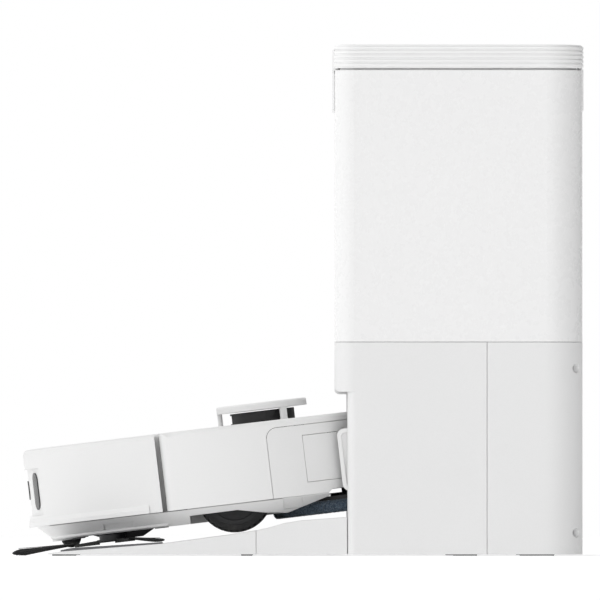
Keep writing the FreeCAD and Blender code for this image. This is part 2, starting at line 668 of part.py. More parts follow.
def buttons():
    """Two push buttons with a flange that holds each under the deck."""
    for name, s in (("power_button", 1), ("home_button", -1)):
        y = off(BUTTON_Y, s)
        cap = rod("button_radius", BUTTON_X, y, ("deck_under - 1", "deck_top - 0.3"))
        flange = rod("button_radius + 1.6", BUTTON_X, y, ("deck_under - 1.6", "deck_under - 0.05"))
        keep(name, join(cap, flange), True)


def dustbin():
    """The bin under the lid, open at the top, with a pleated filter frame at its rear."""
    x = ("-lid_front + 2", "-lid_rear - 5")
    y = ("-lid_half + 3", "lid_half - 3")
    tub = cut(prism(x, y, "8", "2", ("50", "deck_under - 3")),
              prism(("-lid_front + 4", "-lid_rear - 7"), ("-lid_half + 5", "lid_half - 5"), "6", "1",
                    ("52", "100")),
              box(("roller_x - 12", "roller_x + 12"), ("-28", "28"), ("49", "53")))
    seat = box(("-lid_rear - 15", "-lid_rear - 13.5"), ("-60", "60"), ("52", "60"))
    keep("dustbin", join(tub, seat), True)
    frame = box(("-lid_rear - 13.5", "-lid_rear - 7"), ("-58", "58"), ("52", "76"))
    pleats = [box(("-lid_rear - 14", "-lid_rear - 9"), (f"{y}", f"{y} + 3"), ("54", "74"))
              for y in range(-54, 54, 6)]
    keep("dustbin_filter", cut(frame, *pleats), True)


def inner_units():
    """Fan, battery and main board."""
    fan = join(rod("28", "-18", "62", ("50", "70")), rod("17", "-18", "62", ("69", "80")),
               box(("-46", "-34"), ("36", "58"), ("52", "68")))
    keep("suction_fan", cut(fan, rod("9", "-18", "62", ("72", "81"))), True)
    keep("battery", prism(("-60", "0"), ("-62", "62"), "4", "4", ("belly + 2.5", "33")), True)
    board = box(("-40", "56"), ("-100", "-42"), ("58.4", "60"))
    chips = [box((x, f"{x} + {w}"), (y, f"{y} + {w}"), ("55.6", "58.4")) for x, y, w in
             (("-22", "-88", 16), ("4", "-84", 12), ("26", "-72", 18), ("-20", "-62", 9))]
    keep("main_board", join(board, *chips), True)


def main_brush():
    """The main brush with its end shafts, the guard under it and the motor that turns it."""
    brush = Body("Brush")
    brush.pad(brush.circle("9", "roller_x", "roller_z", plane="xz"), "2 * roller_half", middle=True)
    shafts = rod("3", "roller_x", ("-roller_half - 8.5", "roller_half + 13"), "roller_z", "y")
    fins = []
    for turn in range(0, 180, 30):
        blade = tool("Part::Box", Length="2 * roller_radius", Width="2 * roller_half", Height="2.4")
        blade.Placement = Placement(Vector(), Rotation(Vector(0, 1, 0), turn))
        spot = "(roller_radius * {} + 1.2 * {})"
        cos, sin = math.cos(math.radians(turn)), math.sin(math.radians(turn))
        move(blade, "roller_x - " + spot.format(round(cos, 6), round(sin, 6)), "-roller_half",
             "roller_z + " + spot.format(round(sin, 6), round(-cos, 6)))
        fins.append(blade)
    keep("brush_roller", join(brush.body, shafts, *fins), True)
    blank = prism(("roller_x - 28.5", "roller_x + 22"), ("-roller_half - 7", "roller_half + 7"), "6", "6",
                  ("guard_base", "belly"))
    slopes = extruded("GuardSlopes", (("roller_x - 28.5", "belly"), ("roller_x - 15", "guard_base"),
                                      ("roller_x + 12", "guard_base"), ("roller_x + 22", "belly")),
                                      "roller_half + 8")
    windows = [box(("roller_x - 20.5", "roller_x + 16"), (f"{y} + 1.2", f"{y} + 22.8"), ("0", "20"))
               for y in range(-72, 72, 24)]
    clear = rod("roller_radius + 0.8", "roller_x", ("-roller_half - 1", "roller_half + 1"), "roller_z", "y")
    keep("brush_guard", cut(common(blank, slopes), clear, *windows), True)
    motor = join(rod("13", "roller_x + 2", ("roller_half + 14", "roller_half + 30"), "34", "y"),
                 box(("roller_x - 8", "roller_x + 8"), ("roller_half + 10.5", "roller_half + 14.2"),
                     ("14", "44")))
    shaft_hole = rod("3 + running_gap", "roller_x", ("roller_half + 8", "roller_half + 13.5"), "roller_z",
                     "y")
    keep("brush_motor", cut(motor, shaft_hole), True)


def side_brush():
    """Three-armed side brush, its hub on a spindle, and its motor."""
    x, y = "side_x", "side_y"
    hub = join(rod("11", x, y, ("3.4", "7.4")), rod("13", x, y, ("2", "3.6")), rod("3", x, y, ("7", "28")))
    keep("side_brush_hub", hub, True)
    arms = []
    for turn in (180, 60, -60):
        arm = Body("Tuft")
        points = (("12.5", "-3"), ("arm_reach", "-4"), ("arm_reach", "4"), ("12.5", "3"))
        turned = [(f"side_x + ({u}) * cos({turn}) - ({v}) * sin({turn})",
                   f"side_y + ({u}) * sin({turn}) + ({v}) * cos({turn})")
                  for u, v in points]
        arm.pad(arm.polygon("xy", turned, level="0.4"), "1.5")
        arms.append(arm.body)
    keep("side_brush_bristles", join(rod("13", x, y, ("0.4", "2")), *arms), True)
    motor = join(rod("9.5", x, y, ("14", "44")), rod("5", x, y, ("44", "48")))
    keep("side_brush_motor", cut(motor, rod("3 + running_gap", x, y, ("10", "30"))), True)


def wheels():
    """Drive wheels with their lugged tyres, and the sprung arms that carry them."""
    for name, s in (("left", -1), ("right", 1)):
        y = side("wheel_in", "wheel_out", s)
        tyre = Body("TyreBand")
        place = {"x": "wheel_x", "y": "wheel_z"}
        tyre.pad(tyre.circle("wheel_radius - 1.4", "wheel_x", "wheel_z", plane="xz",
                             level=off("-wheel_y", s)),
                 "wheel_width", middle=True)
        lugs = []
        for turn in range(0, 360, 15):
            lug = tool("Part::Box", Length="3.6", Width="wheel_width", Height="3.4")
            lug.Placement = Placement(Vector(), Rotation(Vector(0, 1, 0), turn))
            cos, sin = round(math.cos(math.radians(turn)), 6), round(math.sin(math.radians(turn)), 6)
            move(lug, f"wheel_x - 1.8 * {cos} + (wheel_radius - 3.5) * {sin}", y[0],
                 f"wheel_z + 1.8 * {sin} + (wheel_radius - 3.5) * {cos}")
            lugs.append(lug)
        band = common(join(tyre.body, *lugs), rod("wheel_radius", "wheel_x", y, "wheel_z", "y"))
        keep("tyre_" + name, cut(band, rod("rim_radius", "wheel_x", y, "wheel_z", "y")), True)
        dish = rod("rim_radius - 4", "wheel_x", side("wheel_out - 2.5", "wheel_out + 1", s), "wheel_z", "y")
        cap = rod("8", "wheel_x", side("wheel_out - 4", "wheel_out", s), "wheel_z", "y")
        hub = join(cut(rod("rim_radius", "wheel_x", y, "wheel_z", "y"), dish), cap)
        keep("wheel_hub_" + name, join(hub, rod("4", "wheel_x", side("96", "wheel_in + 1", s), "wheel_z",
                                                "y")), True)
        arm = Body("Arm")
        level = off("-wheel_in + 5.2", s)
        arm.pad(arm.polygon("xz", (("wheel_x + 3", "wheel_z - 12"), ("pivot_x + 6", "pivot_z - 5"),
                                   ("pivot_x - 2", "pivot_z + 6.5"), ("wheel_x - 10", "wheel_z + 9")),
                                   level=level), "4", middle=True)
        case = rod("14", "wheel_x", side("84", "wheel_in - 3.2", s), "wheel_z", "y")
        eye = rod("7", "pivot_x", side("wheel_in - 7.2", "wheel_in - 3.2", s), "pivot_z", "y")
        holes = [rod("4 + running_gap", "wheel_x", side("95", "wheel_in", s), "wheel_z", "y"),
                 rod("pivot_pin + running_gap", "pivot_x", side("95", "wheel_in", s), "pivot_z", "y")]
        keep("wheel_arm_" + name, cut(join(arm.body, case, eye), *holes), True)


def caster():
    """The front caster: a swivelling cup and its small wheel."""
    x, r = "caster_x", "caster_radius"
    cup = join(rod("11.5", x, "0", ("7", "22")), rod("3", x, "0", ("21", "33")))
    slot = box((f"{x} - 8", f"{x} + 14"), ("-6", "6"), ("0", "19.5"))
    axle = rod("1.5", f"{x} + 2", ("-9.5", "9.5"), r, "y")
    keep("caster_fork", join(cut(cup, slot), axle), True)
    wheel = Body("CasterWheel")
    wheel.pad(wheel.circle(r, f"{x} + 2", r, plane="xz"), "11", middle=True)
    wheel.fillet("2", lambda e: not isinstance(e.Curve, Part.Line))
    keep("caster_wheel", cut(wheel.body, rod("1.5 + running_gap", f"{x} + 2", ("-8", "8"), r, "y")), True)


def mops():
    """Two round mop pads on driven plates, and the yoke that lifts them."""
    for name, s in (("left", -1), ("right", 1)):
        y = off("mop_y", s)
        pad = Body("MopPad")
        pad.pad(pad.circle("mop_radius", "mop_x", y, level="mop_base"), "mop_thick")
        pad.fillet("3", lambda e: at(e, z=size("mop_base")))
        keep("mop_pad_" + name, pad.body, True)
        plate = join(rod("mop_radius - 4", "mop_x", y, ("mop_top", "mop_top + 3")),
                     rod("16", "mop_x", y, ("mop_top", "20")),
                     rod("6", "mop_x", y, ("mop_top", "58")), rod("8", "mop_x", y, ("56.1", "59")))
        keep("mop_plate_" + name, plate, True)
    bar = join(box(("mop_x - 10", "mop_x + 10"), ("-mop_y", "mop_y"), ("44", "56")),
               rod("13", "mop_x", "mop_y", ("44", "56")), rod("13", "mop_x", "-mop_y", ("44", "56")))
    holes = [rod("6 + running_gap", "mop_x", off("mop_y", s), ("30", "60")) for s in (1, -1)]
    guides = [rod("4 + running_gap", "mop_x", off("30", s), ("30", "70")) for s in (1, -1)]
    keep("mop_lift_yoke", cut(bar, *holes, *guides), True)
    motor = join(rod("13", "mop_x", "0", ("56", "76")),
                 box(("mop_x - 9", "mop_x + 9"), ("-20", "20"), ("56", "62")))
    keep("mop_motor", motor, True)


def robot_trim():
    """Charging contacts, floor sensor windows and base screws."""
    pads = both(("robot_radius - 4", "robot_radius - 0.8"), ("7", "17"), ("30", "38"))
    keep("robot_contacts", pads, True)
    reach = "(belly_radius - 12)"
    spots = [(f"-{reach} * cos({turn})", f"{reach} * sin({turn})") for turn in (22, -22, 63, -63)]
    keep("cliff_windows", join(*[rod("5", x, y, ("belly - 0.6", "belly")) for x, y in spots]), True)
    heads = [rod("3.2", x, y, ("belly + 0.2", "belly + 1.4")) for x, y in SCREWS]
    shanks = [rod("1.5", x, y, ("belly + 1.4", "15")) for x, y in SCREWS]
    keep("robot_screws", join(*heads, *shanks), True)


def lower_housing():
    """The dock's lower moulding: side walls, cavity back and ceiling, and the bay behind the cavity."""
    block = tower("0", ("foot_height", "lower_top"), "LowerBlock")
    y = ("-cavity_half", "cavity_half")
    mouth = box(("front - 5", "cavity_back"), y, ("foot_height + 3", "mouth_top"))
    under = box(("front - 5", "mouth_front"), WIDE, ("0", "mouth_top"))
    lip = cut(box(("front - 1", "front + mouth_round"), WIDE, ("mouth_top - 1", "mouth_top + mouth_round")),
              rod("mouth_round", "front + mouth_round", WIDE, "mouth_top + mouth_round", "y"))
    posts = cut(both(("mouth_front - 1", "mouth_front + post_round"),
                     ("tower_half - post_round", "tower_half + 1"),
                     ("0", "mouth_top")),
                *[rod("post_round", "mouth_front + post_round", off("tower_half - post_round", s),
                      ("-1", "mouth_top + 1"))
                  for s in (1, -1)])
    behind = box(("cover_seam", "rear + 5"), ("-300", "300"), ("0", "lower_top + 1"))
    inner = ("-tower_half + dock_wall", "tower_half - dock_wall")
    bay = box(("cavity_back + dock_wall", "cover_seam + 1"), inner,
              ("foot_height + 3", "lower_top - dock_wall"))
    head = box(("front + dock_wall", "cavity_back + dock_wall + 1"),
               ("-tower_half + 17", "tower_half - 17"),
               ("mouth_top + dock_wall", "lower_top - dock_wall"))
    webs = both(("mouth_front + 8", "cavity_back"), ("cavity_half + dock_wall", "tower_half - dock_wall"),
                ("foot_height + 3", "mouth_top + 20"))
    plugs = [rod("3", ("cavity_back - 1", "cavity_back + 4"), off("12", s), CONTACT_Z, "x")
             for s in (1, -1)]
    keep("dock_lower_housing", cut(block, mouth, under, lip, posts, behind, bay, head, webs, *plugs))


CONTACT_Z = "park_height + robot_radius * sin(park_tilt) + 34 * cos(park_tilt)"
COVER_SCREWS = [(s, z) for s in (1, -1) for z in ("cover_screw_high", "cover_screw_low")]


def rear_cover():
    """The cover of the lower rear bay, with four screws near its rear corners."""
    block = tower("0", ("foot_height", "lower_top"), "CoverBlock")
    hollow = tower("dock_wall", ("foot_height + 3", "lower_top - dock_wall"), "CoverHollow")
    ahead = box(("front - 5", "cover_seam + seam"), ("-300", "300"), ("0", "lower_top + 1"))
    y = "tower_half - 13"
    posts = [rod("6.5", ("rear - 22", "rear - 6"), off(y, s), z, "x") for s, z in COVER_SCREWS]
    sinks = [rod("3.9", ("rear - 11", "rear + 1"), off(y, s), z, "x") for s, z in COVER_SCREWS]
    holes = [rod("1.8", ("rear - 24", "rear"), off(y, s), z, "x") for s, z in COVER_SCREWS]
    shell = common(join(cut(block, hollow), *posts), block)
    keep("dock_rear_cover", cut(shell, ahead, *sinks, *holes))
    heads = [rod("3.7", ("rear - 11", "rear - 8"), off(y, s), z, "x") for s, z in COVER_SCREWS]
    shanks = [rod("1.8", ("rear - 22", "rear - 11"), off(y, s), z, "x") for s, z in COVER_SCREWS]
    keep("rear_cover_screws", join(*heads, *shanks))


def upper_housing():
    """The tank housing, open at the top, with partitions, an inner collar and a grille opening."""
    base = "lower_top + seam"
    shell = tower("0", (base, "upper_top"), "UpperBlock")
    hollow = tower("dock_wall", (f"{base} + 3", "upper_top + 1"), "UpperHollow")
    collar = cut(tower("dock_wall - 0.5", ("upper_top - 8", "upper_top - 2"), "CollarFoot"),
                 tower("7", ("upper_top - 9", "upper_top + 9")))
    rim = cut(tower("4", ("upper_top - 8", "upper_top + 6"), "CollarRim"),
              tower("7", ("upper_top - 9", "upper_top + 9")))
    span = ("front + dock_wall - 1", "rear - dock_wall + 1")
    walls = both(span, ("bay_half", "bay_half + dock_wall"), (base, "upper_top - 2"))
    rails = both(("front + 10", "30"), ("bay_half - 4", "bay_half + 0.5"), (base, "373"))
    shelf = cut(box(("front + 10", "30"), ("-bay_half", "bay_half"), ("370", "373")),
                rod("20", "-40", "0", ("365", "380")))
    vent = box(("rear - 10", "rear + 5"), ("-grille_half", "grille_half"), ("grille_low", "grille_high"))
    keep("dock_upper_housing", cut(join(cut(shell, hollow), collar, rim, walls, rails, shelf), vent))


def exhaust_grille():
    """A slotted insert in the rear wall."""
    plate = join(box(("rear - 3", "rear"), ("-grille_half", "grille_half"), ("grille_low", "grille_high")),
                 box(("rear - 1", "rear + slat_proud"), ("-grille_half + 3", "grille_half - 3"),
                     ("grille_low + 3.5", "grille_high - 3.5")))
    count = int((size("grille_high") - size("grille_low") - 2) / size("slot_pitch"))
    slots = [box(("rear - 4", "rear + 1"), ("-grille_half + 4", "grille_half - 4"),
                 (f"grille_low + 1.8 + {i} * slot_pitch",
                  f"grille_low + 3.3 + {i} * slot_pitch")) for i in range(count)]
    keep("exhaust_grille", cut(plate, *slots))


def dock_lid():
    """The ribbed lift-off lid, with a pull tab hanging at the front and another at the rear."""
    top = Body("LidBlock")
    made = top.outline(("front", "rear"), ("-tower_half", "tower_half"), "corner_front", "corner_rear",
                       level="lid_base")
    top.pad(made, "lid_top - lid_base")
    top.fillet("2", lambda e: abs(e.BoundBox.ZMin - size("lid_top")) < 0.01)
    ribs = [tower("-rib_depth", (f"lid_base + 1.4 + {i} * rib_pitch", f"lid_base + 3.4 + {i} * rib_pitch"),
                  "Rib")
            for i in range(5)]
    well = tower("dock_wall", ("lid_base - 1", "upper_top + 6"), "LidRoom")
    well_top = tower("9", ("lid_base", "lid_top - dock_wall"), "LidHollow")
    tabs = []
    across = ("-tab_half", "tab_half")
    for tab, link, top_edge in ((("front - 2.1", "front - 0.4"), ("front - 1", "front + 1"), "lid_top - 2"),
                                (("rear + 0.4", "rear + 2.1"), ("rear - 1", "rear + 1"), "lid_base + 1.4")):
        tabs.append(box(tab, across, ("lid_base - tab_drop", top_edge)))
        tabs.append(box(link, across, ("lid_base", top_edge)))
    keep("dock_lid", join(cut(join(top.body, *ribs), well, well_top), *tabs))


def tanks():
    """Clean and dirty water tanks in the side bays, the dust bag between them."""
    base = "lower_top + seam + 3"
    x = ("front + dock_wall + tank_gap", "rear - dock_wall - tank_gap")
    hand = "2.5"
    for name, s in (("clean_water_tank", 1), ("dirty_water_tank", -1)):
        y = side("bay_half + dock_wall + tank_gap", "tower_half - dock_wall - tank_gap", s)
        inner_x = (f"{x[0]} + {hand}", f"{x[1]} - {hand}")
        inner_y = (f"{y[0]} + {hand}", f"{y[1]} - {hand}")
        tub = cut(prism(x, y, "10", "24", (base, "tank_top")),
                  prism(inner_x, inner_y, "8", "22", (f"{base} + 3", "tank_top - 3")))
        middle = f"({y[0]} + {y[1]}) / 2"
        grip = cut(box(("-50", "50"), (f"{middle} - 7", f"{middle} + 7"),
                       ("tank_top - 0.5", "tank_top + 15")),
                   box(("-42", "42"), (f"{middle} - 8", f"{middle} + 8"), ("tank_top", "tank_top + 10")))
        cap = rod("14", "-70", middle, ("tank_top - 1", "tank_top + 8"))
        keep(name, join(tub, grip, cap))
    bag = prism(("front + 14", "14"), ("-bay_half + 6", "bay_half - 6"), "12", "12", ("230", "370"))
    keep("dust_bag", join(bag, rod("19.9", "-40", "0", ("369", "376"))))
    fan = join(rod("30", "58", "0", (base, "250")), box(("80", "rear - 3"), ("-22", "22"), (base, "226")))
    keep("dock_fan", cut(fan, rod("12", "58", "0", ("240", "251"))))


def from_front(points):
    """Outline points whose x is counted from the tray's front edge."""
    return [(f"tray_front + {x}", z) for x, z in points]


def base_tray():
    """The tray under the cavity with its wash basin, sloped like the parked robot."""
    rise = from_front(((0, "foot_height"), (0, "21"), (11.3, "23.5"), (22.3, "26.8"), (37.3, "29.3"),
                       (75.3, "32.1")))
    points = rise + [("cavity_back", "38"), ("cavity_back", "foot_height + 3"),
                     ("mouth_front - 0.3", "foot_height + 3"), ("mouth_front - 0.3", "foot_height")]
    slab = extruded("TraySlab", points, "robot_radius + 1")
    narrow = both(("mouth_front - 0.3", "cavity_back + 1"), ("cavity_half - 0.4", "200"), ("0", "60"))
    floor = "park_height + (({}) - robot_x) * tan(park_tilt) + ({}) / cos(park_tilt)"
    ends = ("tray_front + 11.3", "cavity_back - 6")
    basin = extruded("Basin", ((ends[0], floor.format(ends[0], "-6")),
                               (ends[1], floor.format(ends[1], "-6")),
                               (ends[1], "90"), (ends[0], "90")), "wash_half + 2")
    edge = "tray_front + 3.3"
    hollow = extruded("TrayHollow", ((edge, "-5"), ("mouth_front - 4", "-5"),
                                     ("mouth_front - 4", floor.format("mouth_front - 4", "-9")),
                                     (ends[0], floor.format(ends[0], "-9")),
                                     (edge, floor.format(edge, "-9"))),
                      "robot_radius - 2")
    keep("base_tray", cut(slab, narrow, basin, hollow))


def wash_tray():
    """The ribbed washboard lying in the basin, parallel to the mops."""
    plate = prism(("mop_x - 67", "mop_x + 73"), ("-wash_half", "wash_half"), "10", "10", ("-6", "-4"))
    ribs = [box((f"mop_x + {x}", f"mop_x + {x} + 3"), ("-wash_half + 10", "wash_half - 10"),
                ("-4.2", "board_level"))
            for x in range(-57, 64, 12)]
    keep("wash_tray", join(plate, *ribs), True)


def ramp():
    """The ramp in front of the tray, hollow underneath, and the ribbed tread on its foot."""
    top = from_front(((-174, "foot_height"), (-174, "1.8"), (-163.6, "3.4"), (-80.1, "9.9"), (-25.8, "17"),
                      (-0.3, "21"),
                      (-0.3, "foot_height")))
    under = from_front(((-130.7, "0"), (-3.3, "0"), (-3.3, "17.3"), (-25.8, "14"), (-80.1, "6.9"),
                        (-130.7, "3")))
    slab = extruded("RampSlab", top, "robot_radius + 1")
    keep("ramp", cut(slab, extruded("RampHollow", under, "robot_radius - 2")))
    tread = from_front(((-163.6, "3.4"), (-80.1, "9.9"), (-80.9, "10.9"), (-130.7, "7.6"), (-156.7, "6"),
                        (-163.6, "4.6")))
    wedge = extruded("TreadWedge", tread, "cavity_half + 1")
    grooves = [box((f"tray_front + {x}", f"tray_front + {x} + 2.2"),
                   ("-cavity_half + 3", "cavity_half - 3"),
                   (f"{5.2 + (x + 156.7) * 0.065:.2f}", "20")) for x in range(-152, -85, 6)]
    keep("ramp_tread", cut(wedge, *grooves))


def plaque(x, y, z, corner):
    """A block that is a rounded rectangle when it is seen along Y."""
    inner_x = (f"{x[0]} + {corner}", f"{x[1]} - {corner}")
    inner_z = (f"{z[0]} + {corner}", f"{z[1]} - {corner}")
    corners = [rod(corner, a, y, b, "y") for a in inner_x for b in inner_z]
    return join(box(inner_x, y, z), box(x, y, inner_z), *corners)


def cavity_pieces():
    """The dust port's nozzle, the guide opposite it and the charging contacts."""
    x, z = ("90", "140"), ("20", "72.3")
    rim_x, rim_z = ("93.5", "136.5"), ("23.5", "68.8")
    for name, s in (("dust_nozzle", -1), ("guide_pad", 1)):
        pad = plaque(x, side("cavity_half - 11", "cavity_half", s), z, "6")
        dish = plaque(rim_x, side("cavity_half - 1.2", "cavity_half + 1", s), rim_z, "3")
        bore = rod("17", "115", side("cavity_half - 12", "cavity_half - 4", s), "46", "y")
        keep(name, cut(pad, dish, bore) if s < 0 else cut(pad, dish), True)
    prongs = [rod("3", ("cavity_back - 7.5", "cavity_back + 6"), off("12", s), CONTACT_Z, "x")
              for s in (1, -1)]
    bridge = box(("cavity_back + 4.5", "cavity_back + 6.5"), ("-20", "20"),
                 (f"{CONTACT_Z} - 8", f"{CONTACT_Z} + 8"))
    keep("dock_contacts", join(*prongs, bridge))


def dock_units():
    """Pump, board and feet."""
    pump = join(box(("35", "90"), ("tower_half - 90", "tower_half - 40"), ("foot_height + 3", "60")),
                rod("16", ("38", "86"), "tower_half - 65", "74", "x"))
    keep("water_pump", pump)
    board = join(box(("30", "34"), ("-120", "-20"), ("foot_height + 3", "12")),
                 box(("31", "33"), ("-118", "-22"), ("12", "110")),
                 box(("33", "43"), ("-100", "-60"), ("30", "60")),
                 box(("33", "41"), ("-50", "-34"), ("70", "86")))
    keep("dock_board", board)
    rows = (("cavity_back - 0.7", "cavity_back + 19.3", "cavity_half - 17"),
            ("rear - 52.5", "rear - 23.5", "cavity_half - 27"),
            ("tray_front - 12.7", "tray_front - 3.3", "cavity_half - 17"),
            ("tray_front - 170.7", "tray_front - 150.7", "cavity_half - 17"))
    feet = [box((a, b), side(f"{y} - 10", f"{y} + 10", s), ("0", "foot_height")) for a, b,
            y in rows for s in (1, -1)]
    feet.append(box(("-10", "10"), ("-10", "10"), ("0", "foot_height")))
    keep("dock_feet", join(*feet))


fit.addProperty("App::PropertyFloat", "answer")
fill_sheet()
for build in (chassis, top_shell, rear_housing, dust_port_flap, dustbin_lid, bumper, sensor_windows, turret,
              buttons,
              dustbin, inner_units, main_brush, side_brush, wheels, caster, mops, robot_trim, lower_housing,
              rear_cover,
              upper_housing, exhaust_grille, dock_lid, tanks, base_tray, wash_tray, ramp, cavity_pieces,
              dock_units):
    build()
doc.recompute()

for obj in doc.Objects:
    if any(state in ("Invalid", "Error") for state in obj.State):
        raise RuntimeError(f"{obj.Name} ({obj.Label}): {obj.State}")
for name, piece in parts.items():
    if piece.Shape.isNull() or not piece.Shape.isValid():
        raise RuntimeError(f"{name}: the shape is null or not valid")

os.makedirs("parts", exist_ok=True)
for name, piece in parts.items():
    piece.Shape.exportStep(f"parts/{name}.step")
    print(f"{name:22s} solids {len(piece.Shape.Solids)} volume {piece.Shape.Volume / 1000:9.2f} cm3")
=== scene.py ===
"""Looks for the robot vacuum and its dock: materials, soft and bristly pieces, camera and light.

Metres, in the row's frame: -Y is the side that the camera looks at, +X runs towards the dock.
"""
import json
import math
import random

import bmesh
import bpy
from mathutils import Matrix, Vector


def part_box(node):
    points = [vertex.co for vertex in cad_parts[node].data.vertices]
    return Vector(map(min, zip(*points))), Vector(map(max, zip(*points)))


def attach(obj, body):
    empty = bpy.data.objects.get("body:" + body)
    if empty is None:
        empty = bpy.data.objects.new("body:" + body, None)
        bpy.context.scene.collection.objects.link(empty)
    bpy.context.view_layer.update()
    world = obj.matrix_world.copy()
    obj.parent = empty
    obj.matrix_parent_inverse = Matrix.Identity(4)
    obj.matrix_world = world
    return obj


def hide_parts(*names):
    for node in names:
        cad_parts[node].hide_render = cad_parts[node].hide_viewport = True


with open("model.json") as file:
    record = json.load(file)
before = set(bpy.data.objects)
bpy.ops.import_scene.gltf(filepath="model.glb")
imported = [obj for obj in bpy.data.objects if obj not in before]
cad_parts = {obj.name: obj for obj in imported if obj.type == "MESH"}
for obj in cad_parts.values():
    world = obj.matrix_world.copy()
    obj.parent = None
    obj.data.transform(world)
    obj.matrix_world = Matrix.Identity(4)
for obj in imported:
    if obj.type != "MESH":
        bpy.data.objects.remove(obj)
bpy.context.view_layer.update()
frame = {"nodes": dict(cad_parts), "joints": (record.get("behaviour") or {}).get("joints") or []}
NODES = frame["nodes"]
JOINTS = {j["name"]: j for j in frame["joints"]}
MM = 0.001
dice = random.Random(7)


# ---------------------------------------------------------------- places taken from the frame

def seat(joint):
    """A joint's own frame: origin on the joint, Z along its axis, X towards the dock."""
    pos, axis = Vector(JOINTS[joint]["pos_m"]), Vector(JOINTS[joint]["axis"]).normalized()
    side = Vector((0, 1, 0)).cross(axis)
    x = side.normalized() if side.length > 0.5 else Vector((1, 0, 0))
    y = axis.cross(x)
    return Matrix.Translation(pos) @ Matrix((x, y, axis)).transposed().to_4x4()


def span(node, place, axis):
    """How far a CAD node reaches along one axis (0, 1 or 2) of a frame: lowest and highest."""
    inward = place.inverted()
    reach = [(inward @ v.co)[axis] for v in NODES[node].data.vertices]
    return min(reach), max(reach)


def far(node, place):
    """A CAD node's largest distance from a frame's Z axis."""
    inward = place.inverted()
    return max((inward @ v.co).xy.length for v in NODES[node].data.vertices)


# ---------------------------------------------------------------- mesh code

def piece(name, verts, faces, body, material, place=None, smooth=True):
    """A mesh that rides on a body and takes the finish it is given."""
    mesh = bpy.data.meshes.new(name)
    mesh.from_pydata([tuple(place @ Vector(v)) if place else tuple(v) for v in verts], [], faces)
    work = bmesh.new()
    work.from_mesh(mesh)
    bmesh.ops.recalc_face_normals(work, faces=work.faces)
    work.to_mesh(mesh)
    work.free()
    mesh.polygons.foreach_set("use_smooth", [smooth] * len(mesh.polygons))
    obj = bpy.data.objects.new(name, mesh)
    bpy.context.scene.collection.objects.link(obj)
    mesh.materials.append(material)
    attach(obj, body)
    return obj


# the faces of a box whose eight corners are listed with x slowest and z fastest, or likewise
BOX_FACES = ((0, 1, 3, 2), (4, 6, 7, 5), (0, 4, 5, 1), (2, 3, 7, 6), (0, 2, 6, 4), (1, 5, 7, 3))


class Shape:
    """Vertices and faces collected from several parts."""

    def __init__(self):
        self.verts, self.faces = [], []

    def add(self, verts, faces):
        start = len(self.verts)
        self.verts += verts
        self.faces += [[i + start for i in face] for face in faces]

    def lathe(self, profile, steps, wave=None):
        """Turns a profile of (radius, height) about Z; it closes where the radius is 0."""
        verts, faces = [], []
        for i in range(steps):
            turn = 2 * math.pi * i / steps
            for k, (radius, height) in enumerate(profile):
                dr, dz = wave(turn, k) if wave else (0, 0)
                r = radius + dr
                verts.append((r * math.cos(turn), r * math.sin(turn), height + dz))
        rows = len(profile)
        for i in range(steps):
            for k in range(rows - 1):
                a, b = i * rows + k, (i + 1) % steps * rows + k
                faces.append([a, b, b + 1, a + 1])
        self.add(verts, faces)

    def thread(self, path, radius, sides=4, taper=1.0):
        """A thin closed tube along a path of points."""
        verts, faces = [], []
        count = len(path)
        for i, point in enumerate(path):
            ahead = Vector(path[min(i + 1, count - 1)]) - Vector(path[max(i - 1, 0)])
            ahead.normalize()
            beside = Vector((0, 0, 1)) if abs(ahead.z) < 0.9 else Vector((1, 0, 0))
            across = ahead.cross(beside).normalized()
            up = across.cross(ahead)
            r = radius * (1 + (taper - 1) * i / (count - 1))
            for k in range(sides):
                turn = 2 * math.pi * k / sides
                out = across * r * math.cos(turn) + up * r * math.sin(turn)
                verts.append(tuple(Vector(point) + out))
        for i in range(count - 1):
            for k in range(sides):
                a, b = i * sides + k, i * sides + (k + 1) % sides
                faces.append([a, b, b + sides, a + sides])
        faces.append(list(range(sides)))
        faces.append([(count - 1) * sides + k for k in range(sides)])
        self.add(verts, faces)

    def block(self, low, high, turn=None):
        """A box between two corners, optionally carried by a matrix."""
        xs, ys, zs = zip(low, high)
        corners = [Vector((x, y, z)) for x in xs for y in ys for z in zs]
        self.add([tuple(turn @ c) if turn else tuple(c) for c in corners], BOX_FACES)


# ---------------------------------------------------------------- materials

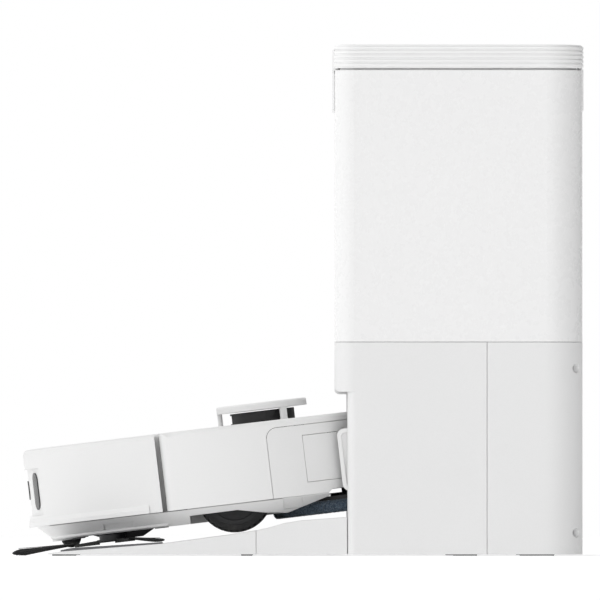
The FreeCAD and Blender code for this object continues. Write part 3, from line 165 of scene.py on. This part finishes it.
class Surface:
    """A node material built up around one principled shader."""

    def __init__(self, name, rough, metal=0.0, coat=0.0, specular=0.5, sheen=0.0):
        self.material = bpy.data.materials.new(name)
        self.material.use_nodes = True
        self.tree = self.material.node_tree
        self.shader = self.tree.nodes["Principled BSDF"]
        self.shader.inputs["Metallic"].default_value = metal
        self.shader.inputs["Roughness"].default_value = rough
        self.shader.inputs["Coat Weight"].default_value = coat
        self.shader.inputs["Coat Roughness"].default_value = 0.12
        self.shader.inputs["Specular IOR Level"].default_value = specular
        self.shader.inputs["Sheen Weight"].default_value = sheen
        self.rough = rough
        self.place = self.node("ShaderNodeTexCoord").outputs["Object"]
        self.normal = None

    def node(self, kind, **values):
        made = self.tree.nodes.new(kind)
        for key, value in values.items():
            if isinstance(value, bpy.types.NodeSocket):
                self.tree.links.new(value, made.inputs[key.replace("_", " ")])
            elif key.replace("_", " ") in made.inputs:
                made.inputs[key.replace("_", " ")].default_value = value
            else:
                setattr(made, key, value)
        return made

    def stretched(self, x, y, z):
        return self.node("ShaderNodeMapping", Vector=self.place, Scale=(x, y, z)).outputs[0]

    def noise(self, scale, detail=3.0, rough=0.55, vector=None):
        return self.node("ShaderNodeTexNoise", Vector=vector or self.place, Scale=scale, Detail=detail,
                         Roughness=rough).outputs["Fac"]

    def cells(self, scale):
        return self.node("ShaderNodeTexVoronoi", Vector=self.place, Scale=scale).outputs["Distance"]

    def ramp(self, source, *stops):
        made = self.node("ShaderNodeValToRGB", Fac=source)
        band = made.color_ramp
        while len(band.elements) < len(stops):
            band.elements.new(0.5)
        for element, (at, value) in zip(band.elements, stops):
            element.position = at
            element.color = (*value, 1) if isinstance(value, tuple) else (value, value, value, 1)
        return made.outputs["Color"]

    def maths(self, how, a, b):
        made = self.node("ShaderNodeMath")
        made.operation = how
        for socket, value in zip(made.inputs, (a, b)):
            if isinstance(value, bpy.types.NodeSocket):
                self.tree.links.new(value, socket)
            else:
                socket.default_value = value
        return made.outputs[0]

    def mix(self, factor, a, b):
        made = self.node("ShaderNodeMix")
        made.data_type = "RGBA"
        for index, value in ((0, factor), (6, a), (7, b)):
            socket = made.inputs[index]
            if isinstance(value, bpy.types.NodeSocket):
                self.tree.links.new(value, socket)
            else:
                socket.default_value = value if index == 0 else (*value, 1)
        return made.outputs[2]

    def soften(self, radius):
        """Rounds the shading of sharp edges, as a moulding's small edge radius does."""
        made = self.node("ShaderNodeBevel", Radius=radius)
        made.samples = 4
        self.normal = made.outputs["Normal"]

    def edges(self):
        """1 on the sharp edges that soften() rounds, 0 on flat stretches."""
        flat = self.node("ShaderNodeNewGeometry").outputs["Normal"]
        dot = self.node("ShaderNodeVectorMath")
        dot.operation = "DOT_PRODUCT"
        self.tree.links.new(self.normal, dot.inputs[0])
        self.tree.links.new(flat, dot.inputs[1])
        bent = self.node("ShaderNodeMapRange", Value=dot.outputs["Value"], From_Min=1.0, From_Max=0.86)
        return bent.outputs[0]

    def bump(self, height, strength, depth):
        made = self.node("ShaderNodeBump", Height=height, Strength=strength, Distance=depth)
        if self.normal:
            self.tree.links.new(self.normal, made.inputs["Normal"])
        self.normal = made.outputs["Normal"]

    def done(self, colour, roughness=None):
        self.tree.links.new(colour, self.shader.inputs["Base Color"])
        if roughness:
            self.tree.links.new(roughness, self.shader.inputs["Roughness"])
        if self.normal:
            self.tree.links.new(self.normal, self.shader.inputs["Normal"])
        return self.material


def tint(colour, by):
    return tuple(min(1.0, c * by) for c in colour)


def moulded(name, colour, rough, grain=2600, strength=0.35, painted_edge_highlight=0.06):
    """Injection-moulded plastic: spark-eroded grain, slow flow tones, handling smudges, and a painted
    highlight along rounded edges.
    """
    s = Surface(name, rough)
    s.soften(0.6 * MM)
    painted_edge_highlight_mask = s.edges()
    flow = s.noise(9, 2.0)
    specks = s.noise(grain * 0.35, 2.0)
    smudges = s.noise(38, 5.0, 0.65)
    base = s.mix(flow, tint(colour, 0.975), tint(colour, 1.02))
    speckled = s.maths("MULTIPLY", s.ramp(specks, (0.42, 0.0), (0.62, 1.0)), 0.05)
    base = s.mix(speckled, base, tint(colour, 0.8))
    # painted highlight: every rounded edge is tinted lighter, standing in for the light its rounding
    # catches
    base = s.mix(s.maths("MULTIPLY", painted_edge_highlight_mask, painted_edge_highlight), base, tint(colour, 1.25))
    uneven = s.node("ShaderNodeMapRange", Value=smudges, From_Min=0.3, From_Max=0.75,
                    To_Min=rough - 0.06, To_Max=rough + 0.07)
    s.bump(s.noise(grain, 2.0), strength, 0.03 * MM)
    return s.done(base, uneven.outputs[0])


def glossy(name, colour, rough, coat=0.6):
    """Polished plastic: orange peel, a few fine scratches and fingerprints in the gloss, and a painted
    highlight along rounded edges.
    """
    s = Surface(name, rough, coat=coat)
    s.soften(0.7 * MM)
    flow = s.noise(7, 2.0)
    hairs = s.noise(900, 2.0, 0.5, s.stretched(1.0, 0.05, 0.3))
    prints = s.noise(55, 6.0, 0.7)
    base = s.mix(flow, tint(colour, 0.985), tint(colour, 1.01))
    # painted highlight: rounded edges tinted a little lighter, standing in for the light they catch
    base = s.mix(s.maths("MULTIPLY", s.edges(), 0.05), base, tint(colour, 1.2))
    level = s.node("ShaderNodeMapRange", Value=prints, From_Min=0.35, From_Max=0.8,
                   To_Min=rough, To_Max=rough + 0.1)
    scratches = s.maths("MULTIPLY", s.ramp(hairs, (0.6, 0.0), (0.7, 1.0)), 0.06)
    scratched = s.maths("ADD", level.outputs[0], scratches)
    s.bump(s.noise(140, 1.5), 0.12, 0.08 * MM)
    return s.done(base, scratched)


def rubber(name, colour):
    """Moulded rubber with a dusty bloom in patches."""
    s = Surface(name, 0.75, specular=0.35)
    s.soften(0.4 * MM)
    pits = s.noise(1800, 3.0)
    dust = s.noise(45, 5.0, 0.7)
    base = s.mix(pits, tint(colour, 0.75), tint(colour, 1.35))
    bloom = s.maths("MULTIPLY", s.ramp(dust, (0.48, 0.0), (0.72, 1.0)), 0.22)
    base = s.mix(bloom, base, (0.30, 0.29, 0.27))
    s.bump(pits, 0.5, 0.06 * MM)
    return s.done(base, s.ramp(dust, (0.3, 0.65), (0.8, 0.85)))


def brushed(name, colour, rough):
    """Brushed steel with a directional grain and dull spots."""
    s = Surface(name, rough, metal=1.0)
    s.soften(0.3 * MM)
    grain = s.noise(300, 4.0, 0.6, s.stretched(1, 40, 40))
    spots = s.noise(400, 3.0)
    base = s.mix(grain, tint(colour, 0.8), tint(colour, 1.1))
    s.bump(grain, 0.2, 0.03 * MM)
    return s.done(s.mix(s.maths("MULTIPLY", spots, 0.25), base, tint(colour, 0.6)),
                  s.ramp(grain, (0.3, rough - 0.08), (0.7, rough + 0.12)))


def fibre(name, light, dark, scale):
    """Microfibre: a speckled yarn in two tones with a soft sheen."""
    s = Surface(name, 0.95, sheen=0.6, specular=0.15)
    s.shader.inputs["Sheen Roughness"].default_value = 0.5
    yarn = s.noise(scale, 4.0, 0.7)
    tufts = s.cells(scale * 0.5)
    slow = s.noise(60, 3.0)
    base = s.mix(s.ramp(yarn, (0.38, 0.0), (0.62, 1.0)), dark, light)
    base = s.mix(s.maths("MULTIPLY", slow, 0.35), base, tint(dark, 0.8))
    s.bump(s.maths("ADD", yarn, tufts), 0.8, 0.6 * MM)
    return s.done(base)


def papery(name, colour):
    """Non-woven paper with pressed fibres."""
    s = Surface(name, 0.9, specular=0.2)
    strands = s.noise(700, 6.0, 0.75, s.stretched(1, 0.25, 1))
    flecks = s.cells(420)
    base = s.mix(strands, tint(colour, 0.8), tint(colour, 1.12))
    s.bump(s.maths("ADD", strands, flecks), 0.5, 0.2 * MM)
    return s.done(base)


def printed_board(name, mask):
    """Solder mask with traces, pads and vias."""
    s = Surface(name, 0.35)
    cells = s.node("ShaderNodeTexVoronoi", Vector=s.place, Scale=420)
    cells.distance = "MANHATTAN"
    tracks = s.ramp(cells.outputs["Distance"], (0.30, 1.0), (0.36, 0.0))
    vias = s.ramp(s.cells(900), (0.06, 1.0), (0.1, 0.0))
    base = s.mix(s.maths("MULTIPLY", tracks, 0.5), mask, tint(mask, 2.2))
    base = s.mix(s.maths("MULTIPLY", vias, 0.8), base, (0.75, 0.6, 0.3))
    s.bump(tracks, 0.3, 0.05 * MM)
    return s.done(base)


def wrapped(name, colour):
    """Shrink wrap pulled over round cells, faintly creased."""
    s = Surface(name, 0.3, coat=0.3)
    bars = s.node("ShaderNodeTexWave", Vector=s.place, Scale=8.5, Distortion=0.4)
    bars.bands_direction = "X"
    creases = s.noise(160, 5.0, 0.7)
    base = s.mix(creases, tint(colour, 0.7), tint(colour, 1.5))
    s.bump(s.maths("ADD", bars.outputs["Fac"], s.maths("MULTIPLY", creases, 0.3)), 0.6, MM)
    return s.done(base)


def tinted_tank(name, colour):
    """Smoky translucent tank plastic with faint flow lines and water marks."""
    s = Surface(name, 0.15)
    s.shader.inputs["Transmission Weight"].default_value = 0.35
    s.soften(0.8 * MM)
    marks = s.noise(70, 6.0, 0.7)
    flow = s.noise(20, 2.0, 0.5, s.stretched(1, 1, 6))
    base = s.mix(flow, tint(colour, 0.9), tint(colour, 1.1))
    dried = s.maths("MULTIPLY", s.ramp(marks, (0.6, 0.0), (0.66, 1.0)), 0.15)
    base = s.mix(dried, base, (0.8, 0.82, 0.84))
    return s.done(base, s.ramp(marks, (0.3, 0.1), (0.8, 0.3)))


SHELL = (0.81, 0.81, 0.808)
robot_white = moulded("robot_white", SHELL, 0.46)
deck_white = moulded("deck_white", tint(SHELL, 1.02), 0.42)
tower_white = glossy("tower_white", (0.90, 0.90, 0.90), 0.24, coat=0.25)
tower_grey = moulded("tower_grey", (0.84, 0.84, 0.84), 0.52, grain=2200, strength=0.45)
lid_white = moulded("lid_white", (0.95, 0.95, 0.95), 0.34, grain=3000, strength=0.25)
ramp_grey = moulded("ramp_grey", (0.83, 0.83, 0.83), 0.5)
tray_grey = moulded("tray_grey", (0.83, 0.83, 0.83), 0.5)
tread_dark = moulded("tread_dark", (0.17, 0.17, 0.18), 0.6, grain=1500, strength=0.6)
washboard_grey = moulded("washboard_grey", (0.62, 0.63, 0.64), 0.4)
black_plastic = moulded("black_plastic", (0.028, 0.028, 0.03), 0.42, painted_edge_highlight=0.25)
inner_black = moulded("inner_black", (0.06, 0.06, 0.065), 0.55, painted_edge_highlight=0.2)
guard_black = moulded("guard_black", (0.045, 0.045, 0.048), 0.5, painted_edge_highlight=0.3)
bin_smoke = glossy("bin_smoke", (0.16, 0.165, 0.18), 0.12)
dark_glass = glossy("dark_glass", (0.02, 0.02, 0.022), 0.22, coat=0.1)
drum_black = glossy("drum_black", (0.012, 0.012, 0.013), 0.45, coat=0.0)
tyre_black = rubber("tyre_black", (0.06, 0.06, 0.061))
foot_rubber = rubber("foot_rubber", (0.05, 0.05, 0.052))
roller_rubber = rubber("roller_rubber", (0.07, 0.07, 0.08))
bristle_black = moulded("bristle_black", (0.018, 0.018, 0.018), 0.4, painted_edge_highlight=0.1)
mop_fibre = fibre("mop_fibre", (0.30, 0.38, 0.47), (0.07, 0.11, 0.17), 900)
contact_steel = brushed("contact_steel", (0.66, 0.64, 0.6), 0.3)
screw_steel = brushed("screw_steel", (0.5, 0.5, 0.51), 0.35)
clean_tank = tinted_tank("clean_tank", (0.55, 0.6, 0.66))
dirty_tank = tinted_tank("dirty_tank", (0.25, 0.26, 0.28))
bag_paper = papery("bag_paper", (0.72, 0.70, 0.64))
filter_paper = papery("filter_paper", (0.82, 0.82, 0.79))
green_board = printed_board("green_board", (0.02, 0.16, 0.07))
cell_wrap = wrapped("cell_wrap", (0.05, 0.06, 0.09))

FINISHES = {
    robot_white: ("bumper", "rear_housing", "dust_port_flap", "turret_cap", "chassis", "dust_nozzle",
                  "guide_pad"),
    deck_white: ("top_shell", "dustbin_lid"),
    tower_white: ("dock_upper_housing",),
    tower_grey: ("dock_lower_housing", "dock_rear_cover", "exhaust_grille"),
    lid_white: ("dock_lid",),
    tray_grey: ("base_tray",),
    ramp_grey: ("ramp",),
    tread_dark: ("ramp_tread",),
    washboard_grey: ("wash_tray",),
    black_plastic: ("mop_plate_left", "mop_plate_right", "wheel_hub_left", "wheel_hub_right", "caster_fork",
                    "turret_base", "side_brush_hub"),
    inner_black: ("suction_fan", "brush_motor", "side_brush_motor", "mop_lift_yoke", "mop_motor",
                  "wheel_arm_left", "wheel_arm_right", "dock_fan", "water_pump"),
    guard_black: ("brush_guard",),
    bin_smoke: ("dustbin",),
    dark_glass: ("sensor_windows", "cliff_windows", "power_button", "home_button"),
    drum_black: ("lidar_drum",),
    tyre_black: ("tyre_left", "tyre_right"),
    foot_rubber: ("dock_feet", "caster_wheel"),
    roller_rubber: ("brush_roller",),
    bristle_black: ("side_brush_bristles",),
    mop_fibre: ("mop_pad_left", "mop_pad_right"),
    contact_steel: ("robot_contacts", "dock_contacts"),
    screw_steel: ("robot_screws", "rear_cover_screws"),
    clean_tank: ("clean_water_tank",),
    dirty_tank: ("dirty_water_tank",),
    bag_paper: ("dust_bag",),
    filter_paper: ("dustbin_filter",),
    green_board: ("main_board", "dock_board"),
    cell_wrap: ("battery",),
}


def finish_nodes():
    for material, names in FINISHES.items():
        for name in names:
            slots = NODES[name].data.materials
            slots.clear()
            slots.append(material)


# ---------------------------------------------------------------- pieces

def mop_pad(side):
    """A crowned microfibre pad: a soft rim, a tufted face and a fringe of loose loops."""
    place = seat(f"mop_{side}_spin")
    node = f"mop_pad_{side}"
    radius = far(node, place)
    low, high = span(node, place, 2)
    thick = high - low
    rim = [(0, low + 0.1 * thick)]
    rim += [(radius * k / 12, low + thick * (0.1 - 0.05 * math.sin(math.pi * k / 12)))
            for k in range(1, 11)]
    for k in range(13):
        a = math.radians(-78 + 13 * k)
        rim.append((radius - 0.4 * thick * (1 - math.cos(a)), low + 0.5 * thick * (1 + math.sin(a))))
    rim += [(radius * 0.9, high), (radius * 0.5, high), (0, high)]

    def tufts(turn, k):
        if k < 3 or k > len(rim) - 4:
            return 0, 0
        push = 0.3 * MM * math.sin(37 * turn + 2.1 * k) + 0.25 * MM * math.sin(61 * turn - 1.3 * k)
        return push, 0.25 * MM * math.sin(53 * turn + 1.7 * k) if k < 12 else 0

    pad = Shape()
    pad.lathe(rim, 240, tufts)
    made = piece(f"mop_pad_soft_{side}", pad.verts, pad.faces, f"mop_{side}", mop_fibre, place)
    loops = Shape()
    for i in range(1500):
        turn = dice.uniform(0, 2 * math.pi)
        rise = dice.uniform(0.06, 0.92)
        r = radius - 0.5 * MM - 0.4 * thick * (1 - math.sqrt(max(0.0, 1 - (2 * rise - 1) ** 2)))
        out, lean = dice.uniform(0.6, 1.5) * MM, dice.uniform(-0.012, 0.012)
        path = []
        for k in range(4):
            f = k / 3
            reach = r + out * math.sin(math.pi * 0.8 * f)
            path.append((reach * math.cos(turn + lean * f), reach * math.sin(turn + lean * f),
                         low + rise * thick - 0.8 * MM * f * f))
        loops.thread(path, 0.22 * MM, 3, 0.6)
    piece(f"mop_loops_{side}", loops.verts, loops.faces, f"mop_{side}", mop_fibre, place)
    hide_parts(node)


def side_brush():
    """Three moulded arms that carry tufts; each tuft droops towards the ground and splays at its tip."""
    place = seat("side_brush_spin")
    node = "side_brush_bristles"
    low, high = span(node, place, 2)
    reach = far(node, place)
    root, hub = 34 * MM, 13 * MM
    lowest = low - 4 * MM
    arms = Shape()
    arms.lathe([(0, high), (hub, high), (hub + 0.6 * MM, high - 0.4 * MM), (hub + 0.6 * MM, low + 1.0 * MM),
                (hub - 1 * MM, low + 0.5 * MM), (0, low + 0.5 * MM)], 60)
    hairs = Shape()
    for arm in range(3):
        spin = Matrix.Rotation(math.radians(180 + 120 * arm), 4, "Z")
        steps = 8
        for row in range(steps):
            f0, f1 = row / steps, (row + 1) / steps
            half = 4.2 * MM - 1.4 * MM * (f0 + f1) / 2
            start, end = hub + (root - hub) * f0 - 2 * MM, hub + (root - hub) * f1 - 1.9 * MM
            arms.block((start, -half, high - 2.4 * MM), (end, half, high + 1.2 * MM * (1 - f0)), spin)
        # the arm that points ahead stays stiff and splays, the two behind it droop to the ramp
        droop, splay = (0.6 * MM, 2.0 * MM) if arm == 0 else (-3.0 * MM, 0.8 * MM)
        for i in range(260):
            across, lift = dice.gauss(0, 0.4), dice.gauss(0, 0.4)
            inset = 0.06 * min(1.0, across * across + lift * lift)
            length = reach * (0.99 - inset) * dice.uniform(0.975, 1.0)
            path = []
            for k in range(8):
                f = k / 7
                along = root - 6 * MM + (length - root + 6 * MM) * f
                spread = 0.6 * MM + splay * f ** 1.5
                wide = across * spread * 1.5 + 2.0 * MM * math.sin(math.pi * f)
                middle = (high + 0.4 * MM) * (1 - f) + (low + droop) * f
                path.append(tuple(spin @ Vector((along, wide, max(middle + lift * spread, lowest)))))
            hairs.thread(path, 0.28 * MM, 4, 0.75)
    base = piece("side_brush_arms", arms.verts, arms.faces, "side_brush", bristle_black, place,
                 smooth=False)
    piece("side_brush_hairs", hairs.verts, hairs.faces, "side_brush", bristle_black, place)
    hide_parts(node)


def tyre(side):
    """A tyre whose tread is two staggered rows of slanted lugs over a plain carcass."""
    place = seat(f"wheel_{side}_spin")
    node = f"tyre_{side}"
    low, high = span(node, place, 2)
    outer = far(node, place)
    inner = 25.0 * MM
    middle = (low + high) / 2
    skin = outer - 1.5 * MM
    edge, gap = 1.2 * MM, 0.4 * MM
    band = Shape()
    band.lathe([(inner, low), (skin - edge, low), (skin - 0.3 * edge, low + 0.3 * edge), (skin, low + edge),
                (skin, middle), (skin, high - edge), (skin - 0.3 * edge, high - 0.3 * edge),
                (skin - edge, high), (inner, high), (inner, middle), (inner, low)], 120)
    lugs = 36
    width = 2 * math.pi / lugs * 0.52
    rows = ((low + gap, middle - gap, 0.09), (middle + gap, high - gap, -0.09))
    for row, (z0, z1, slant) in enumerate(rows):
        for i in range(lugs):
            start = 2 * math.pi * (i + 0.5 * row) / lugs
            verts = []
            for z, shift in ((z0, 0.0), (z1, slant)):
                for r, shrink in ((skin - gap, 1.0), (outer, 0.8)):
                    for way in (-1, 1):
                        turn = start + shift + way * width / 2 * shrink
                        verts.append((r * math.cos(turn), r * math.sin(turn), z))
            band.add(verts, BOX_FACES)
    made = piece(f"tyre_tread_{side}", band.verts, band.faces, f"wheel_{side}", tyre_black, place,
                 smooth=False)
    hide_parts(node)


def roller():
    """The main brush: a rubber core with chevron fins and rows of bristle tufts between them."""
    place = seat("main_brush_spin")
    node = "brush_roller"
    low, high = span(node, place, 2)
    outer = far(node, place) - 0.2 * MM
    half = min(-low, high) - 9 * MM
    shaft, drum, edge = 3 * MM, 9 * MM, 1 * MM
    bulge = 9.6 * MM
    core = Shape()
    core.lathe([(0, low), (shaft, low), (shaft, -half), (drum, -half), (bulge, -half + edge),
                (bulge, half - edge), (drum, half), (shaft, half), (shaft, high), (0, high)], 48)
    fin_section = ((8 * MM, -0.1), (outer * 0.8, -0.03), (outer, 0.0), (outer, 0.05), (outer * 0.8, 0.03),
                   (8 * MM, 0.12))
    corners = len(fin_section)
    steps = 40
    tufts = Shape()
    for fin in range(6):
        start = math.radians(60 * fin)
        rows = []
        for i in range(steps + 1):
            z = -half + 2 * half * i / steps
            turn = start + 0.75 * (1 - abs(z) / half)
            rows.append((turn, z))
        verts, faces = [], []
        for turn, z in rows:
            for r, offset in fin_section:
                verts.append((r * math.cos(turn + offset), r * math.sin(turn + offset), z))
        for i in range(steps):
            for k in range(corners):
                a, b = i * corners + k, i * corners + (k + 1) % corners
                faces.append([a, b, b + corners, a + corners])
        faces.append(list(range(corners)))
        faces.append([steps * corners + k for k in range(corners)])
        core.add(verts, faces)
        for i in range(2, steps - 1, 2):
            turn, z = rows[i]
            turn += math.radians(30)
            for _ in range(7):
                t, h = turn + dice.uniform(-0.03, 0.03), z + dice.uniform(-0.8, 0.8) * MM
                tip = outer * dice.uniform(0.95, 1.0)
                foot = (drum * math.cos(t), drum * math.sin(t), h)
                end = (tip * math.cos(t + 0.02), tip * math.sin(t + 0.02), h + dice.uniform(-0.6, 0.6) * MM)
                tufts.thread([foot, end], 0.18 * MM, 3)
    made = piece("roller_fins", core.verts, core.faces, "brush_roller", roller_rubber, place,
                 smooth=False)
    piece("roller_tufts", tufts.verts, tufts.faces, "brush_roller", bristle_black, place)
    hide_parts(node)


def squared(value, power):
    """A sine or cosine pushed towards its ends, which squares a round outline up."""
    return math.copysign(abs(value) ** power, value)


def dust_bag():
    """A pleated paper bag, crowned where it fills, ending 6 mm below the top of its box."""
    low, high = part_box("dust_bag")
    middle = (low + high) / 2
    neck = high.z - 6 * MM
    half = Vector(((high.x - low.x) / 2 - 1 * MM, (high.y - low.y) / 2 - 1 * MM, (neck - low.z) / 2))
    centre = Vector((middle.x, middle.y, (neck + low.z) / 2))
    bag = Shape()
    rows, steps = 28, 72
    verts, faces = [], []
    for i in range(rows + 1):
        v = -math.pi / 2 + math.pi * i / rows
        for k in range(steps):
            u = 2 * math.pi * k / steps
            cu, su, cv, sv = math.cos(u), math.sin(u), math.cos(v), math.sin(v)
            pleat = 1 - 0.02 * (1 + math.sin(14 * v)) * abs(cv)
            verts.append((centre.x + half.x * squared(cv, 0.5) * squared(cu, 0.45) * pleat,
                          centre.y + half.y * squared(cv, 0.5) * squared(su, 0.45) * pleat,
                          centre.z + half.z * squared(sv, 0.6)))
    for i in range(rows):
        for k in range(steps):
            a, b = i * steps + k, i * steps + (k + 1) % steps
            faces.append([a, b, b + steps, a + steps])
    bag.add(verts, faces)
    made = piece("dust_bag_paper", bag.verts, bag.faces, "dock", bag_paper)
    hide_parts("dust_bag")


def screw_heads():
    """Pan heads with a cross recess on the rear cover's screws."""
    low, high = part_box("rear_cover_screws")
    heads = Shape()
    radius = 3.7 * MM
    x = high.x
    for y in (low.y + radius, high.y - radius):
        for z in (low.z + radius, high.z - radius):
            place = Matrix.Translation((x, y, z)) @ Matrix.Rotation(math.radians(90), 4, "Y")
            ring = Shape()
            ring.lathe([(0.9 * MM, -1.2 * MM), (1.4 * MM, 0.25 * MM), (2.6 * MM, 0.2 * MM),
                        (radius, -0.5 * MM), (radius, -3 * MM), (0.9 * MM, -3 * MM),
                        (0.9 * MM, -1.2 * MM)], 40)
            for turn in range(4):
                spin = Matrix.Rotation(math.radians(90 * turn + 20), 4, "Z")
                ring.block((1.0 * MM, -0.35 * MM, 0.0), (2.2 * MM, 0.35 * MM, 0.32 * MM), spin)
            heads.add([tuple(place @ Vector(v)) for v in ring.verts], ring.faces)
    piece("screw_recesses", heads.verts, heads.faces, "dock", screw_steel, smooth=False)


def board_parts():
    """Connectors, coils and capacitors on the robot's main board."""
    place = seat("lidar_spin")
    x0, x1 = span("main_board", place, 0)
    y0, y1 = span("main_board", place, 1)
    low, high = span("main_board", place, 2)
    parts = Shape()
    for i in range(26):
        x = dice.uniform(x0 + 6 * MM, x1 - 8 * MM)
        y = dice.uniform(y0 + 5 * MM, y1 - 5 * MM)
        if i % 3:
            parts.block((x, y, high - 0.1 * MM), (x + 2.4 * MM, y + 1.4 * MM, high + 1.1 * MM))
        else:
            can = Shape()
            can.lathe([(0, 0), (2 * MM, 0), (2.2 * MM, 0.4 * MM), (2.2 * MM, 4 * MM), (1.7 * MM, 4.5 * MM),
                       (0, 4.4 * MM)], 20)
            parts.add([(v[0] + x, v[1] + y, v[2] + high - 0.05 * MM) for v in can.verts], can.faces)
    piece("board_parts", parts.verts, parts.faces, "robot", inner_black, place, smooth=False)


# ---------------------------------------------------------------- stage, light and camera

LENS = 1200.0
SENSOR = 36.0
VIEW_WIDTH = 0.501
EYE_HEIGHT = 35 * MM
AHEAD_OF_LID = 27.2 * MM
SKY = 1.0


def set_camera():
    """A very long lens low beside the ramp, square to the object's left side."""
    low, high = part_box("dock_lid")
    distance = VIEW_WIDTH * LENS / SENSOR
    rise = math.atan((high.z / 2 - EYE_HEIGHT) / distance)
    data = bpy.data.cameras.new("camera")
    data.lens = LENS
    data.sensor_width = SENSOR
    data.clip_end = 100
    camera = bpy.data.objects.new("camera", data)
    camera.location = (low.x - AHEAD_OF_LID, low.y - distance, EYE_HEIGHT)
    camera.rotation_euler = (math.radians(90) + rise, 0, 0)
    bpy.context.scene.collection.objects.link(camera)
    bpy.context.scene.camera = camera


def area_light(name, place, aim, size, power):
    data = bpy.data.lights.new(name, "AREA")
    data.shape = "RECTANGLE"
    data.size = size
    data.size_y = size
    data.energy = power
    lamp = bpy.data.objects.new(name, data)
    lamp.location = place
    lamp.rotation_euler = (Vector(aim) - Vector(place)).to_track_quat("-Z", "Y").to_euler()
    bpy.context.scene.collection.objects.link(lamp)


def shade_towards_dock(tree):
    """An even white sky that falls off towards +X, as a studio lit from the robot's side."""
    place = tree.nodes.new("ShaderNodeTexCoord")
    split = tree.nodes.new("ShaderNodeSeparateXYZ")
    fall = tree.nodes.new("ShaderNodeMapRange")
    fall.interpolation_type = "SMOOTHSTEP"
    for socket, value in (("From Min", 0.06), ("From Max", 0.75), ("To Min", SKY), ("To Max", 0.1 * SKY)):
        fall.inputs[socket].default_value = value
    tree.nodes["Background"].inputs["Color"].default_value = (1, 1, 1, 1)
    tree.links.new(place.outputs["Generated"], split.inputs[0])
    tree.links.new(split.outputs["X"], fall.inputs["Value"])
    tree.links.new(fall.outputs[0], tree.nodes["Background"].inputs["Strength"])


def set_studio():
    """A bright sweep of pale floor, an even sky and large soft lamps."""
    sweep = Shape()
    sweep.add([(-12, -12, 0), (12, -12, 0), (12, 12, 0), (-12, 12, 0)], [[0, 1, 2, 3]])
    mesh = bpy.data.meshes.new("floor")
    mesh.from_pydata(sweep.verts, [], sweep.faces)
    floor = bpy.data.objects.new("floor", mesh)
    bpy.context.scene.collection.objects.link(floor)
    s = Surface("floor_paint", 0.9)
    s.shader.inputs["Emission Color"].default_value = (1, 1, 1, 1)
    s.shader.inputs["Emission Strength"].default_value = 0.3
    mesh.materials.append(s.done(s.mix(s.noise(3, 2.0), (0.93, 0.93, 0.93), (0.95, 0.95, 0.95))))
    world = bpy.data.worlds.new("studio")
    world.use_nodes = True
    shade_towards_dock(world.node_tree)
    bpy.context.scene.world = world
    bpy.context.scene.view_settings.view_transform = "Standard"
    area_light("key", (-1.6, -1.5, 1.7), (0, 0, 0.2), 1.4, 3)
    area_light("fill", (1.4, -1.8, 1.0), (0, 0, 0.2), 1.2, 1)


finish_nodes()
for side in ("left", "right"):
    mop_pad(side)
    tyre(side)
side_brush()
roller()
dust_bag()
screw_heads()
board_parts()
set_camera()
set_studio()
